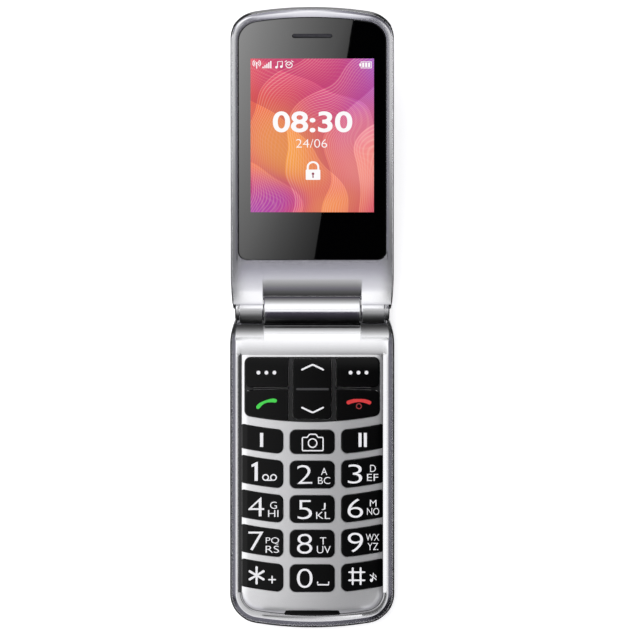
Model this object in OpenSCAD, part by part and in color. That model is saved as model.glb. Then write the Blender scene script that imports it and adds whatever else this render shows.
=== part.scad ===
// Clamshell phone with large keys, lying open on its back.
//
// Millimetres, +Z up. The origin is the centre of the back of the keypad half,
// which rests on the table. X runs across the phone. The display half hinges
// about an axis along X and rises towards +Y.
//
// Base pieces are drawn with y counted from the hinge axis (negative towards the
// free end) and z from the table. Lid pieces are drawn with the hinge axis at
// y = z = 0, the lid lying flat towards +Y, and in_lid() tilts them to the open angle.

/* [Overall] */
// Width of both halves
body_w = 53; // [52:0.5:58]
// Length of each half, from the hinge axis to its free end
half_len = 102.4; // [102:0.2:110]
// Gap between the two faces when closed
closed_gap = 0.5; // [0.4:0.05:0.8]
// Angle between the halves when fully open
open_angle = 160; // [150:1:172]
// Plan radius of the corners at the free ends
corner_r = 9.6; // [7:0.1:11]
// Plan radius of the gently crowned free ends
crown_r = 115; // [95:5:180]
// Edge radius where the sides meet a face
face_edge_r = 2.2; // [1.7:0.1:2.6]
// Edge radius where the sides meet a back
back_edge_r = 3.6; // [3:0.1:3.8]

/* [Housing] */
// Side wall of the covers
wall = 1.5; // [1.2:0.1:1.8]
// Face of the keypad half, above the keypad frame
deck_t = 1.4; // [1.2:0.1:2]
// Seam left between two covers
seam = 0.1; // [0.06:0.02:0.2]
// Clearance between fixed pieces inside
fit = 0.06; // [0.04:0.01:0.12]
// Thickness of the battery cover
cover_t = 1.1; // [0.9:0.1:1.5]
// Distance from the hinge axis to the top edge of the battery cover
cover_top = 26; // [24:0.5:28]
// Floor of the rear case, over the battery cover
floor_t = 0.8; // [0.6:0.1:1]
// Back wall of the display half
lid_back_t = 1.2; // [1:0.1:1.6]
// Radius of a housing screw's thread
screw_r = 0.8; // [0.6:0.05:0.9]
// Radius of a housing screw's head
screw_head_r = 1.4; // [1.2:0.1:1.5]
// Height of a housing screw's head
screw_head_h = 0.7; // [0.5:0.1:0.7]
// Wall of a screw boss
boss_wall = 0.7; // [0.6:0.05:0.8]

/* [Hinge] */
// Radius of the keypad half's hinge barrel
barrel_r = 4.35; // [4.1:0.05:4.6]
// Distance from the side of the phone to the outer end of a knuckle
knuckle_inset = 3.05; // [2.8:0.05:4]
// Radius of the display half's hinge knuckles
knuckle_r = 4.1; // [3.9:0.05:4.3]
// Length of each hinge knuckle
knuckle_w = 7.6; // [6.5:0.1:8]
// Gap around the turning knuckles and barrel
hinge_gap = 0.35; // [0.3:0.05:0.5]
// Gap between a knuckle and the barrel's end
hinge_side_gap = 0.25; // [0.2:0.05:0.4]
// Radius of the bore through the barrel
barrel_bore_r = 3; // [2.8:0.05:3.2]
// Radial clearance of the hinge shafts
shaft_fit = 0.05; // [0.02:0.01:0.1]
// Length of the sprung hinge cartridge
cartridge_len = 19; // [15:0.5:20]
// Radius of the cartridge's cam shaft
cam_r = 1.6; // [1.3:0.1:1.9]
// Radius of the hollow hinge pin
pin_r = 1.9; // [1.6:0.1:2.1]
// Radius of the cable way through the hollow pin
pin_bore_r = 1.3; // [1:0.1:1.4]
// Length of the bush that carries the hollow pin
bush_len = 5; // [4:0.5:6]
// Radius of the caps on the outer ends of the knuckles
cap_r = 3.4; // [3:0.1:3.6]
// Thickness of the end caps
cap_t = 1.5; // [1.2:0.1:1.8]

/* [Keypad] */
// Width of the keypad half's rim beside the key panel
rim_w = 3.75; // [3.5:0.05:4.5]
// Groove between rim and key panel
groove_w = 0.5; // [0.3:0.05:0.7]
// Drop from the rim to the key panel
panel_drop = 0.4; // [0.2:0.05:0.6]
// Distance from the hinge axis to the top edge of the key panel
panel_top = 14.4; // [14:0.1:14.8]
// Rim at the free end of the key panel
rim_end = 4.1; // [3.8:0.1:4.5]
// Height of the keys over the key panel
key_rise = 0.5; // [0.3:0.05:0.6]
// How far a key can be pressed
key_travel = 0.4; // [0.3:0.05:0.5]
// Gap around each key
key_gap = 0.15; // [0.1:0.01:0.2]
// Width of the keys in the middle column
key_mid_w = 14.3; // [13:0.1:15]
// Distance between the middle and the side columns
key_col_gap = 2.3; // [2:0.1:3]
// Gap between two rows of number keys
key_row_gap = 2.44; // [2.2:0.02:3]
// Distance from the free end to the last row of number keys
digits_end = 11.58; // [10.8:0.02:13]
// Distance from the hinge axis to the top of the first number row
digits_top = 48.7; // [48.4:0.1:49.2]
// Distance from the hinge axis to the top of the camera key's row
memory_top = 38.7; // [38.4:0.1:39]
// Height of a key in the camera key's row
memory_h = 7.6; // [7:0.1:8]
// Radius of the curve that the side columns follow
smile_r = 110; // [100:5:160]
// Corner radius of the keys
key_corner_r = 1.85; // [1.5:0.05:2.2]
// Corner radius of the side keys at the rim
key_outer_r = 0.6; // [0.4:0.05:0.8]
// Step around the top of each key
key_step = 0.3; // [0.2:0.05:0.4]
// Distance from the hinge axis to the top of the navigation cluster
cluster_top = 15.3; // [15.2:0.05:15.6]
// Length of the navigation cluster
cluster_len = 20.7; // [19.5:0.1:21.5]
// Strip of key panel on each side of the navigation cluster
cluster_margin = 1.05; // [0.9:0.05:1.5]
// Width of the navigation key
nav_w = 12.4; // [11:0.1:13]
// Groove on each side of the navigation key
nav_groove = 1.5; // [1.2:0.1:2]
// Height of the two softkeys
soft_h = 9.55; // [8.5:0.05:10]
// Groove between the softkeys and the call keys
soft_groove = 0.55; // [0.5:0.05:1.2]
// Fall of the call keys' top edge towards the rim
call_fall = 0.55; // [0:0.05:1]
// Width of the microphone slot's trim
mic_w = 18.5; // [12:0.5:20]
// Depth of the microphone slot's trim
mic_d = 1.6; // [1.2:0.1:2]
// Thickness of the frame under the key panel
key_frame_t = 0.8; // [0.6:0.1:1]
// Thickness of the silicone keypad sheet
membrane_t = 0.4; // [0.3:0.05:0.5]
// Radius of the plunger under each key
plunger_r = 1.2; // [1:0.1:1.5]
// Radius of a contact dome
dome_r = 2.5; // [1.8:0.1:2.6]
// Height of a contact dome
dome_h = 0.4; // [0.3:0.05:0.5]

/* [Inside the keypad half] */
// Thickness of the circuit board
board_t = 1; // [0.8:0.1:1.2]
// Width of the circuit board
board_w = 38; // [37:0.5:38.5]
// Battery width
battery_w = 36; // [32:0.5:37]
// Distance from the free end to the battery
battery_end = 8.4; // [7.6:0.2:14]
// Battery thickness
battery_t = 3.85; // [3.6:0.05:5]
// Distance from the hinge axis to the battery's top edge
battery_top = 47; // [46.5:0.5:47.5]
// Width, length and height of the SIM card holder
sim_size = [16, 13.5, 1.8];
// Width, length and height of the memory card holder
memory_size = [13, 14, 1.6];
// Width, length and height of the shield can
shield_size = [11, 11, 1.8];
// Width and length of the loudspeaker
speaker_size = [15, 11];
// Radius of the vibration motor
motor_r = 4; // [3.5:0.1:4.5]
// Width, depth and height of the charging socket
usb_size = [7.5, 5.6, 2.6];
// Radius of the microphone capsule
mic_r = 2; // [1.6:0.1:2.2]
// Height of the microphone capsule
mic_h = 1.1; // [0.9:0.1:1.1]
// Width, depth and height of a battery contact
contact_size = [1.6, 1.4, 2.4];
// Distance from one battery contact to the next
contact_pitch = 4; // [3:0.5:6]

/* [Display half] */
// Rim beside the display window
lid_rim_w = 2.6; // [2.2:0.1:3]
// Rim at the free end of the display window
lid_rim_end = 2.1; // [2:0.1:3]
// Distance from the hinge axis to the display window
window_bottom = 17; // [16.5:0.1:18]
// Corner radius of the window near the hinge
window_low_r = 3; // [2:0.1:4]
// Drop from the lid's rim to the window
window_drop = 0.15; // [0.1:0.05:0.3]
// Thickness of the display window
window_t = 1.2; // [1:0.1:1.4]
// Width of the visible display
display_w = 39.7; // [36:0.1:41]
// Distance from the free end to the visible display
display_end = 16.5; // [14.5:0.1:20]
// Distance from the hinge axis to the visible display
display_bottom = 33.4; // [32.5:0.1:34]
// Margin of the display panel around its visible part
lcd_margin = 1.5; // [1:0.1:1.8]
// Thickness of the display panel
lcd_t = 2.1; // [1.6:0.1:2.6]
// Thickness of the display's metal frame
lcd_frame_t = 0.6; // [0.4:0.1:0.8]
// Width of the earpiece slot
earpiece_w = 12.8; // [10:0.1:14]
// Height of the earpiece slot
earpiece_h = 1.3; // [1:0.1:1.6]
// Distance from the free end to the earpiece slot
earpiece_end = 8.8; // [7.5:0.1:9.4]
// Width, length and thickness of the earpiece speaker
receiver_size = [12, 6, 2];
// Distance from the free end to the camera
camera_end = 20.4; // [18:0.2:26]
// Width of the square camera module
camera_w = 8.5; // [7:0.1:9]
// Height of the camera module's body
camera_t = 2.7; // [2.5:0.1:3]
// Radius of the ring around the camera window
camera_ring_r = 5.4; // [5:0.1:6]
// Radius of the camera window
camera_window_r = 4.2; // [3.5:0.1:4.4]
// Distance from the camera to the flash
flash_x = 10.5; // [9:0.1:14]
// Radius of the flash window
flash_r = 1.8; // [1.4:0.1:2.2]
// Distance from the hinge axis to the lid's screws
lid_screw_y = 12.8; // [12.5:0.1:13.2]
// Distance between the lid's two screws
lid_screw_span = 36; // [30:0.5:40]

/* [Hidden] */
$fn = 64;
arc_step = 10;
arc_piece = 4;
tiny = 0.01;
far = 300;

// Small sizes inside the housing
part_gap = 0.5;
speaker_inset = 1.5;
slot_size = [1, 5];
slot_pitch = 2.2;
usb_reach = 3;
usb_wall = 0.4;
usb_inset = 0.3;
mic_inset = 3;
boss_sink = 0.2;
boss_from_cover = 4;
boss_from_corner = 1.2;
boss_roof = 0.5;
can_t = 0.2;
holder_gap = 1.3;
holder_wall = 0.5;
holder_floor = 0.3;
holder_roof = 0.4;
bay_gap = 0.3;
bay_ledge = 1;
battery_r = 1;
membrane_lift = 0.1;
membrane_margin = 1;
plunger_gap = 0.25;
trim_drop = 0.2;
trim_slope = 0.6;
flex_gap = 0.3;
flex_t = 0.3;
cam_depth = 5.8;
cam_play = 0.2;
ledge_t = 0.9;
mesh_t = 0.3;
mesh_z = 0.2;
lens_h = 0.8;
lens_inset = 0.6;
camera_glass_z = 0.1;
camera_glass_t = 0.65;
ring_seat = 0.8;
flash_sink = 0.05;
screw_sink = 0.2;
screw_tip = 0.5;
lid_screw_roof = 1.2;
split_drop = 0.5;

// Web between the hinge barrel and the face: where its slope starts, how long the
// slope is, and how far the web lies below the face
web_start = 9.3;
web_slope = 1.2;
web_drop = 0.9;

// Navigation key in its cluster: gaps at its top and bottom, corner radius, and the
// distance from its middle to each of its two switches
nav_top_gap = 0.3;
nav_end_gap = 0.9;
nav_r = 1.35;
nav_press = 6.5;

// Sides near the hinge: where each half starts to draw in, and along which radius
base_neck_start = 11;
base_neck_r = 20;
lid_neck_start = 12;
lid_neck_r = 68;

// Heights in the keypad half, from the table up
battery_z = cover_t + fit;
floor_top = battery_z + floor_t;
board_z = battery_z + battery_t + fit;
dome_z = board_z + board_t;
plunger_z = dome_z + dome_h + key_travel + fit;
membrane_z = plunger_z + membrane_lift;
key_z = membrane_z + membrane_t + key_travel + fit;
deck_z = key_z + key_frame_t;
base_t = deck_z + deck_t;
panel_z = base_t - panel_drop;
key_top = panel_z + key_rise;
split_z = board_z - split_drop;

// Hinge axis, and the tilt of the open lid
hinge_y = half_len / 2;
axis_z = base_t + closed_gap / 2;
tilt = 180 - open_angle;

// Arc that blends the knuckles into the lid's face. It touches the face and the
// knuckle, and its centre lies at 45 degrees from the hinge axis.
ramp_c = (knuckle_r + closed_gap / 2) / (sqrt(2) - 1);
ramp_r = ramp_c + closed_gap / 2;
shoulder_r = ramp_c - closed_gap / 2;
hinge_block = ramp_c + 1;
lid_block = window_bottom - wall;

// Heights in the lid, from its face (which faces up when the lid lies flat) down
lid_face = -closed_gap / 2;
window_top = lid_face - window_drop;
window_z = window_top - window_t;
lcd_z = window_z - fit - lcd_t;
lcd_frame_z = lcd_z - fit - lcd_frame_t;
camera_z = lcd_frame_z - fit - camera_t;
lid_back = camera_z - fit - lid_back_t;
lid_t = lid_face - lid_back;
lid_split = lid_face - lid_t / 2;

// Layout across the phone. The barrel fills the room between the knuckles.
knuckle_out = body_w / 2 - knuckle_inset;
knuckle_in = knuckle_out - knuckle_w;
barrel_w = 2 * (knuckle_in - hinge_side_gap);
panel_w = body_w - 2 * rim_w;
panel_end = half_len - rim_end;
side_key_in = key_mid_w / 2 + key_col_gap;
side_key_out = panel_w / 2;
cluster_out = panel_w / 2 - cluster_margin;
cluster_in = nav_w / 2 + nav_groove;
window_w = body_w - 2 * lid_rim_w;

// Layout along the keypad half
key_h = (half_len - digits_end - digits_top - 3 * key_row_gap) / 4;
key_pitch = key_h + key_row_gap;
battery_len = half_len - battery_top - battery_end;
board_top = hinge_block + wall;
board_end = half_len - wall - usb_reach;
membrane_end = half_len - digits_end + membrane_margin;
boss_r = screw_r + boss_wall;
boss_x = body_w / 2 - wall - boss_r + boss_sink;
boss_y = [cover_top + boss_from_cover, half_len - corner_r - boss_from_corner];
speaker_at = [-board_w / 2 + speaker_inset + speaker_size[0] / 2,
              -board_top - part_gap - speaker_size[1] / 2];
motor_at = [board_w / 2 - part_gap - motor_r, -board_top - part_gap - motor_r];
shield_at = [speaker_at[0] + speaker_size[0] / 2 + part_gap,
             -board_top - part_gap - shield_size[1]];
holder_y = -battery_top + contact_size[1] + holder_gap;
mic_at = [0, -(board_end - mic_inset)];

// Layout along the display half
display_len = half_len - display_bottom - display_end;
earpiece_y = half_len - earpiece_end;
camera_y = half_len - camera_end;

// Every key: name, side (-1 left, 0 middle, 1 right), inner and outer distance
// from the centre line, top and bottom distance from the hinge axis, and the
// corner radii at the inner and at the outer end
function column(name, side, top, h) = side == 0
    ? [name, 0, 0, key_mid_w / 2, top, top + h, key_corner_r, key_corner_r]
    : [name, side, side_key_in, side_key_out, top, top + h, key_corner_r, key_outer_r];
function cluster_key(name, side, top, h) =
    [name, side, cluster_in, cluster_out, top, top + h, key_outer_r, key_corner_r];
DIGIT_ROWS = [["key_1", "key_2", "key_3"], ["key_4", "key_5", "key_6"],
              ["key_7", "key_8", "key_9"], ["key_star", "key_0", "key_hash"]];
call_top = cluster_top + soft_h + soft_groove;
call_h = cluster_len - soft_h - soft_groove;
KEYS = concat(
    [for (row = [0:3]) for (col = [0:2])
        column(DIGIT_ROWS[row][col], col - 1, digits_top + row * key_pitch, key_h)],
    [column("key_memory_1", -1, memory_top, memory_h),
     column("key_camera", 0, memory_top, memory_h),
     column("key_memory_2", 1, memory_top, memory_h),
     cluster_key("key_soft_left", -1, cluster_top, soft_h),
     cluster_key("key_soft_right", 1, cluster_top, soft_h),
     cluster_key("key_call", -1, call_top, call_h),
     cluster_key("key_end", 1, call_top, call_h)]);
NAV_KEY = ["key_navigation", 0, 0, nav_w / 2, cluster_top + nav_top_gap,
           cluster_top + cluster_len - nav_end_gap, nav_r, nav_r];
nav_mid = (NAV_KEY[4] + NAV_KEY[5]) / 2;

// ---- Outlines ------------------------------------------------------------------

// Points along an arc, no more than arc_step degrees or arc_piece millimetres apart
function arc(c, r, from, to) =
    let (turn = abs(to - from), n = max(1, ceil(turn / arc_step), ceil(turn * r * PI / 180 / arc_piece)))
    [for (i = [0:n]) let (a = from + (to - from) * i / n) c + r * [cos(a), sin(a)]];

// One corner of a polygon, between its neighbours a and b, rounded to radius r
function corner(p, a, b, r) = r <= 0 ? [p] :
    let (u = (a - p) / norm(a - p), v = (b - p) / norm(b - p), half = acos(u * v) / 2,
         c = p + (u + v) / norm(u + v) * r / sin(half),
         s = p + u * r / tan(half) - c, e = p + v * r / tan(half) - c,
         from = atan2(s[1], s[0]),
         turn = (atan2(e[1], e[0]) - from + 540) % 360 - 180)
    arc(c, r, from, from + turn);

// A polygon's points with each corner rounded to its own radius
function rounded(points, radii) =
    let (n = len(points))
    [for (i = [0:n - 1])
        for (q = corner(points[i], points[(i + n - 1) % n], points[(i + 1) % n], radii[i])) q];

// Free end of a half: two corners and a crowned end, drawn from +X to -X
function free_end(inset) =
    let (x = body_w / 2 - corner_r, cy = half_len - crown_r,
         y = cy + sqrt(pow(crown_r - corner_r, 2) - x * x), a = atan2(y - cy, x))
    concat(arc([x, y], corner_r - inset, 0, a),
           arc([0, cy], crown_r - inset, a, 180 - a),
           arc([-x, y], corner_r - inset, 180 - a, 180));

// Side of a half near the hinge: straight down to `start`, then drawn in along an arc
function neck(side, start, r, inset) =
    [for (i = [0:5]) let (y = start * (1 - i / 5))
        [side * (body_w / 2 - r + sqrt(pow(r - inset, 2) - pow(start - y, 2))), y]];

// Plan of a half, with the hinge at y = 0 and the free end towards +Y
module plan_2d(start, r, inset) {
    left = neck(-1, start, r, inset);
    right = neck(1, start, r, inset);
    polygon(concat(free_end(inset), left, [for (i = [len(right) - 1:-1:0]) right[i]]));
}

// Form of a half between z = back and z = face, without its hinge parts. The free
// end and the sides are rounded, and so is the back edge at the hinge. Its hollow is
// the same form, set in by `inset` at the sides.
module half_form(back, face, start, neck_r, inset = 0) {
    side = body_w / 2 - inset;
    rf = face_edge_r - inset;
    rb = back_edge_r - inset;
    intersection() {
        translate([0, 0, back]) linear_extrude(face - back) plan_2d(start, neck_r, inset);
        translate([0, far / 2, 0]) rotate([90, 0, 0]) linear_extrude(far)
            polygon(rounded([[-side, back], [side, back], [side, face], [-side, face]],
                            [rb, rb, rf, rf]));
        translate([-far / 2, 0, 0]) rotate([90, 0, 90]) linear_extrude(far)
            polygon(rounded([[0, back], [half_len - inset, back],
                             [half_len - inset, face], [0, face]], [rb, rb, rf, 0]));
    }
}

// Window outline: crowned at the free end, rounded near the hinge
module window_2d(grow) {
    x = window_w / 2 + grow;
    inset = lid_rim_w - grow;
    intersection() {
        translate([0, lid_rim_w - lid_rim_end]) polygon(concat(free_end(inset),
            [[-x, 0], [x, 0]]));
        polygon(rounded([[-x, window_bottom - grow], [x, window_bottom - grow],
                         [x, far], [-x, far]], [window_low_r + grow, window_low_r + grow, 0, 0]));
    }
}

// Key panel outline, in base coordinates
module panel_2d(grow) {
    x = panel_w / 2 + grow;
    inset = rim_w - grow;
    mirror([0, 1]) intersection() {
        translate([0, rim_w - rim_end]) polygon(concat(free_end(inset), [[-x, 0], [x, 0]]));
        translate([-x, panel_top - grow]) square([2 * x, far]);
    }
}

// Rise of a side key's edge at distance x from the centre line. The cluster's keys
// follow one curve across the whole cluster, the other rows start at the inner end.
function smile(x, inner) = (x * x - inner * inner) / (2 * smile_r);
function smile_from(k) = k[4] < cluster_top + cluster_len ? 0 : k[2];

// Rise of a side key's bottom and top edge at distance x. The division between the
// soft keys and the call keys is straight.
function low_rise(k, x) = k[5] < call_top ? 0 : smile(x, smile_from(k));
function high_rise(k, x) = k[4] == cluster_top ? 0
    : k[4] == call_top ? -call_fall * (x - cluster_in) / (cluster_out - cluster_in)
    : smile(x, smile_from(k));

// Outline of a key, grown by g on every side
function key_points(k, g) = k[1] == 0
    ? rounded([[-k[3] - g, -k[5] - g], [k[3] + g, -k[5] - g], [k[3] + g, -k[4] + g],
               [-k[3] - g, -k[4] + g]], [k[6] + g, k[6] + g, k[6] + g, k[6] + g])
    : let (a = k[2] - g, b = k[3] + g,
           low = [for (i = [0:4]) let (x = a + (b - a) * i / 4)
                  [k[1] * x, -k[5] - g + low_rise(k, x)]],
           high = [for (i = [4:-1:0]) let (x = a + (b - a) * i / 4)
                   [k[1] * x, -k[4] + g + high_rise(k, x)]])
      rounded(concat(low, high), [k[6] + g, 0, 0, 0, k[7] + g, k[7] + g, 0, 0, 0, k[6] + g]);
module key_2d(k, g = 0) polygon(key_points(k, g));

// Middle of a key, where its plunger stands
function key_centre(k) = let (x = k[1] * (k[2] + k[3]) / 2)
    [x, -(k[4] + k[5]) / 2 + (k[1] == 0 ? 0 : smile(x, k[2]) / 2)];
PLUNGERS = concat([for (k = KEYS) key_centre(k)],
                  [for (s = [-1, 1]) [0, -nav_mid + s * nav_press]]);

// One opening for the whole navigation cluster
module cluster_2d(g) {
    top = cluster_top - g;
    end = cluster_top + cluster_len + g;
    x = cluster_out + g;
    r = key_corner_r + g;
    low = [for (i = [-6:6]) let (u = x * i / 6) [u, -end + smile(u, 0)]];
    polygon(rounded(concat(low, [[x, -top], [-x, -top]]),
                    concat([r], [for (i = [1:11]) 0], [r, r, r])));
}

// ---- Placement -------------------------------------------------------------------

module in_base() translate([0, hinge_y, 0]) children();
module in_lid() translate([0, hinge_y, axis_z]) rotate([tilt, 0, 0]) children();
module both_sides() {
    children();
    mirror([1, 0, 0]) children();
}
// Cylinder along X from x = a to x = b, about the hinge axis of the lid's frame
module along_x(r, a, b) translate([a, 0, 0]) rotate([0, 90, 0]) cylinder(r = r, h = b - a);
// The same about the hinge axis in base coordinates
module on_axis() translate([0, 0, axis_z]) children();
// Prism along X from x = a to x = b with a profile drawn in (y, z)
module across(a, b) translate([a, 0, 0]) rotate([90, 0, 90]) linear_extrude(b - a) children();

// ---- Shell forms -------------------------------------------------------------------

module base_form() mirror([0, 1, 0]) half_form(0, base_t, base_neck_start, base_neck_r);
module lid_form() half_form(lid_back, lid_face, lid_neck_start, lid_neck_r);

// Hollow of the keypad half and of the lid, clear of their solid hinge ends
module base_hollow() intersection() {
    mirror([0, 1, 0]) half_form(battery_z, deck_z, base_neck_start, base_neck_r, wall);
    translate([-far / 2, -far, 0]) cube([far, far - hinge_block, far]);
}
module lid_hollow() intersection() {
    half_form(lid_back + lid_back_t, window_z - ledge_t, lid_neck_start, lid_neck_r, wall);
    translate([-far / 2, lid_block, -far]) cube([far, far, 2 * far]);
}

// Rounded shoulder that the other half's knuckles roll over: what is cut away
module shoulder_cut_2d(dir) difference() {
    polygon([[0, 0], [dir * ramp_c, -ramp_c], [dir * ramp_c, 3], [0, 3]]);
    translate([dir * ramp_c, -ramp_c]) circle(r = shoulder_r);
}

// Screw posts of the keypad half
module at_bosses() for (x = [-boss_x, boss_x]) for (y = boss_y) translate([x, -y, 0]) children();

// ---- Keypad half -------------------------------------------------------------------

module base_frame() color("silver") in_base() difference() {
    union() {
        difference() {
            intersection() {
                base_form();
                translate([-far / 2, -far / 2, split_z + seam]) cube([far, far, far]);
            }
            base_hollow();
            // Shoulder and knuckle room on both sides of the barrel
            both_sides() {
                on_axis() across(knuckle_in - hinge_side_gap, far / 2) shoulder_cut_2d(-1);
                on_axis() along_x(knuckle_r + hinge_gap, knuckle_in - hinge_side_gap, far / 2);
            }
            // Lowered web between the barrel and the face
            on_axis() across(-barrel_w / 2, barrel_w / 2)
                polygon([[-web_start, lid_face], [web_slope - web_start, lid_face - web_drop],
                         [0, lid_face - web_drop], [0, 3], [-web_start, 3]]);
        }
        on_axis() along_x(barrel_r, -barrel_w / 2, barrel_w / 2);
        at_bosses() translate([0, 0, split_z + seam]) cylinder(r = boss_r, h = deck_z - split_z - seam);
    }
    on_axis() along_x(barrel_bore_r, -far / 2, far / 2);
    translate([0, 0, deck_z - tiny]) linear_extrude(far) panel_2d(groove_w);
    at_bosses() cylinder(r = screw_r + shaft_fit, h = deck_z - boss_roof);
    usb_space(fit);
}

module key_panel() color("lightgray") in_base() difference() {
    translate([0, 0, deck_z]) linear_extrude(panel_z - deck_z) panel_2d(0);
    translate([0, 0, deck_z - 1]) linear_extrude(far) {
        for (k = KEYS) if (k[4] > cluster_top + cluster_len) key_2d(k, key_gap);
        cluster_2d(key_gap);
        mic_notch_2d(0);
    }
}

// Slot for the microphone at the free end of the key panel
module mic_notch_2d(inset) polygon([
    [-mic_w / 2 + inset, -panel_end - 2], [mic_w / 2 - inset, -panel_end - 2],
    [mic_w / 2 - trim_slope - inset, -panel_end + mic_d - inset],
    [-mic_w / 2 + trim_slope + inset, -panel_end + mic_d - inset]]);

module microphone_trim() color("black") in_base() translate([0, 0, deck_z])
    linear_extrude(panel_z - deck_z - trim_drop) intersection() {
        mic_notch_2d(fit);
        panel_2d(-fit);
    }

module key_frame() color([0.08, 0.08, 0.08]) in_base() difference() {
    translate([0, 0, key_z]) linear_extrude(key_frame_t - fit) intersection() {
        panel_2d(rim_w - max(wall, face_edge_r) - fit);
        translate([-far / 2, -far - hinge_block - 2 * fit]) square([far, far]);
    }
    translate([0, 0, key_z - 1]) linear_extrude(far) {
        for (k = KEYS) key_2d(k, key_gap);
        key_2d(NAV_KEY, key_gap);
        for (y = boss_y) for (x = [-boss_x, boss_x]) translate([x, -y]) circle(r = boss_r + fit);
    }
}

module rear_case() color("dimgray") in_base() difference() {
    union() {
        difference() {
            intersection() {
                base_form();
                translate([-far / 2, -far / 2, 0]) cube([far, far, split_z]);
            }
            base_hollow();
            battery_cover_space();
        }
        // Floor over the cover, and the screw posts
        intersection() {
            base_hollow();
            union() {
                translate([-far / 2, -far, battery_z]) cube([far, far, floor_t]);
                at_bosses() translate([0, 0, battery_z]) cylinder(r = boss_r, h = split_z - battery_z);
            }
        }
    }
    // Battery bay, card holders and charging socket
    translate([-battery_w / 2 - bay_gap, -battery_top - battery_len - bay_gap, 0])
        cube([battery_w + 2 * bay_gap, battery_len + 2 * bay_gap, far]);
    translate([-battery_w / 2, -battery_top - bay_ledge, 0])
        cube([battery_w, battery_top - boss_y[0], far]);
    usb_space(fit);
    at_bosses() {
        cylinder(r = screw_r + shaft_fit, h = far);
        cylinder(r = screw_head_r + fit, h = battery_z + screw_head_h + fit);
    }
    speaker_slots();
}

// Everything that the battery cover takes from the back, with its seam
module battery_cover_space() translate([-far / 2, -far, -1])
    cube([far, far - cover_top, battery_z + 1]);
module speaker_slots() for (i = [-2:2])
    translate([speaker_at[0] + i * slot_pitch - slot_size[0] / 2, speaker_at[1] - slot_size[1] / 2, -1])
        cube([slot_size[0], slot_size[1], far]);

module battery_cover() color("gray") in_base() intersection() {
    base_form();
    translate([-far / 2, -far, 0]) cube([far, far - cover_top - seam, cover_t]);
}

module battery() color("darkslategray") in_base()
    translate([-battery_w / 2, -battery_top - battery_len, battery_z])
        linear_extrude(battery_t - fit) polygon(rounded(
            [[0, 0], [battery_w, 0], [battery_w, battery_len], [0, battery_len]],
            [battery_r, battery_r, battery_r, battery_r]));

module battery_contacts() color("gold") in_base() for (i = [-1:1])
    translate([i * contact_pitch - contact_size[0] / 2, -battery_top + fit,
               board_z - fit - contact_size[2]]) cube(contact_size);

module main_board() color("darkgreen") in_base()
    translate([-board_w / 2, -board_end, board_z]) cube([board_w, board_end - board_top, board_t]);

module shield_can() color("lightsteelblue") in_base()
    translate([shield_at[0], shield_at[1], board_z - shield_size[2]]) difference() {
        cube(shield_size);
        translate([can_t, can_t, can_t])
            cube([shield_size[0] - 2 * can_t, shield_size[1] - 2 * can_t, far]);
    }

module sim_holder() color("silver") in_base()
    card_holder(sim_size, [-battery_w / 2 + part_gap, holder_y]);
module memory_card_holder() color("silver") in_base()
    card_holder(memory_size, [battery_w / 2 - part_gap - memory_size[0], holder_y]);
// Sheet-metal holder with its slot towards the battery
module card_holder(size, at) translate([at[0], at[1], board_z - size[2]]) difference() {
    cube(size);
    translate([holder_wall, -holder_wall, holder_floor])
        cube([size[0] - 2 * holder_wall, size[1], size[2] - holder_floor - holder_roof]);
}

module loudspeaker() color("black") in_base()
    translate([speaker_at[0] - speaker_size[0] / 2, speaker_at[1] - speaker_size[1] / 2, floor_top])
        cube([speaker_size[0], speaker_size[1], board_z - floor_top - fit]);

module vibration_motor() color("silver") in_base()
    translate([motor_at[0], motor_at[1], floor_top]) cylinder(r = motor_r, h = board_z - floor_top - fit);

module microphone() color("silver") in_base()
    translate([mic_at[0], mic_at[1], dome_z]) cylinder(r = mic_r, h = mic_h);

usb_z = board_z - usb_size[2];
module usb_space(grow) translate([-usb_size[0] / 2 - grow, -far, usb_z - grow])
    cube([usb_size[0] + 2 * grow, far - board_end + 2, usb_size[2] + grow]);
module usb_port() color("silver") in_base()
    translate([-usb_size[0] / 2, -half_len + usb_inset, usb_z]) difference() {
        cube(usb_size - [0, 0, fit]);
        translate([usb_wall, -1, usb_wall])
            cube([usb_size[0] - 2 * usb_wall, usb_size[1], usb_size[2] - 2 * usb_wall - fit]);
    }

module keypad_membrane() color("whitesmoke") in_base() difference() {
    translate([-board_w / 2, -membrane_end, membrane_z])
        cube([board_w, membrane_end - board_top, membrane_t]);
    for (p = PLUNGERS) translate([p[0], p[1], 0]) cylinder(r = plunger_r + plunger_gap, h = far);
}

module contact_domes() color("gold") in_base() for (p = PLUNGERS)
    translate([p[0], p[1], dome_z]) cylinder(r = dome_r, h = dome_h);

module base_screws() color("dimgray") in_base() at_bosses() translate([0, 0, battery_z]) {
    cylinder(r = screw_head_r, h = screw_head_h);
    cylinder(r = screw_r, h = deck_z - boss_roof - screw_tip - battery_z);
}

// Every key: a cap with a stepped top, and a plunger
module key_cap(k) {
    translate([0, 0, key_z]) linear_extrude(key_top - key_step - key_z) key_2d(k);
    translate([0, 0, key_z]) linear_extrude(key_top - key_z) key_2d(k, -key_step);
}
module plunger(p) translate([p[0], p[1], plunger_z]) cylinder(r = plunger_r, h = key_z - plunger_z + tiny);
module key(k) color([0.06, 0.06, 0.06]) in_base() {
    key_cap(k);
    plunger(key_centre(k));
}
module key_navigation() color([0.06, 0.06, 0.06]) in_base() {
    key_cap(NAV_KEY);
    for (s = [-1, 1]) plunger([0, -nav_mid + s * nav_press]);
}

// ---- Hinge ---------------------------------------------------------------------------

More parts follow.
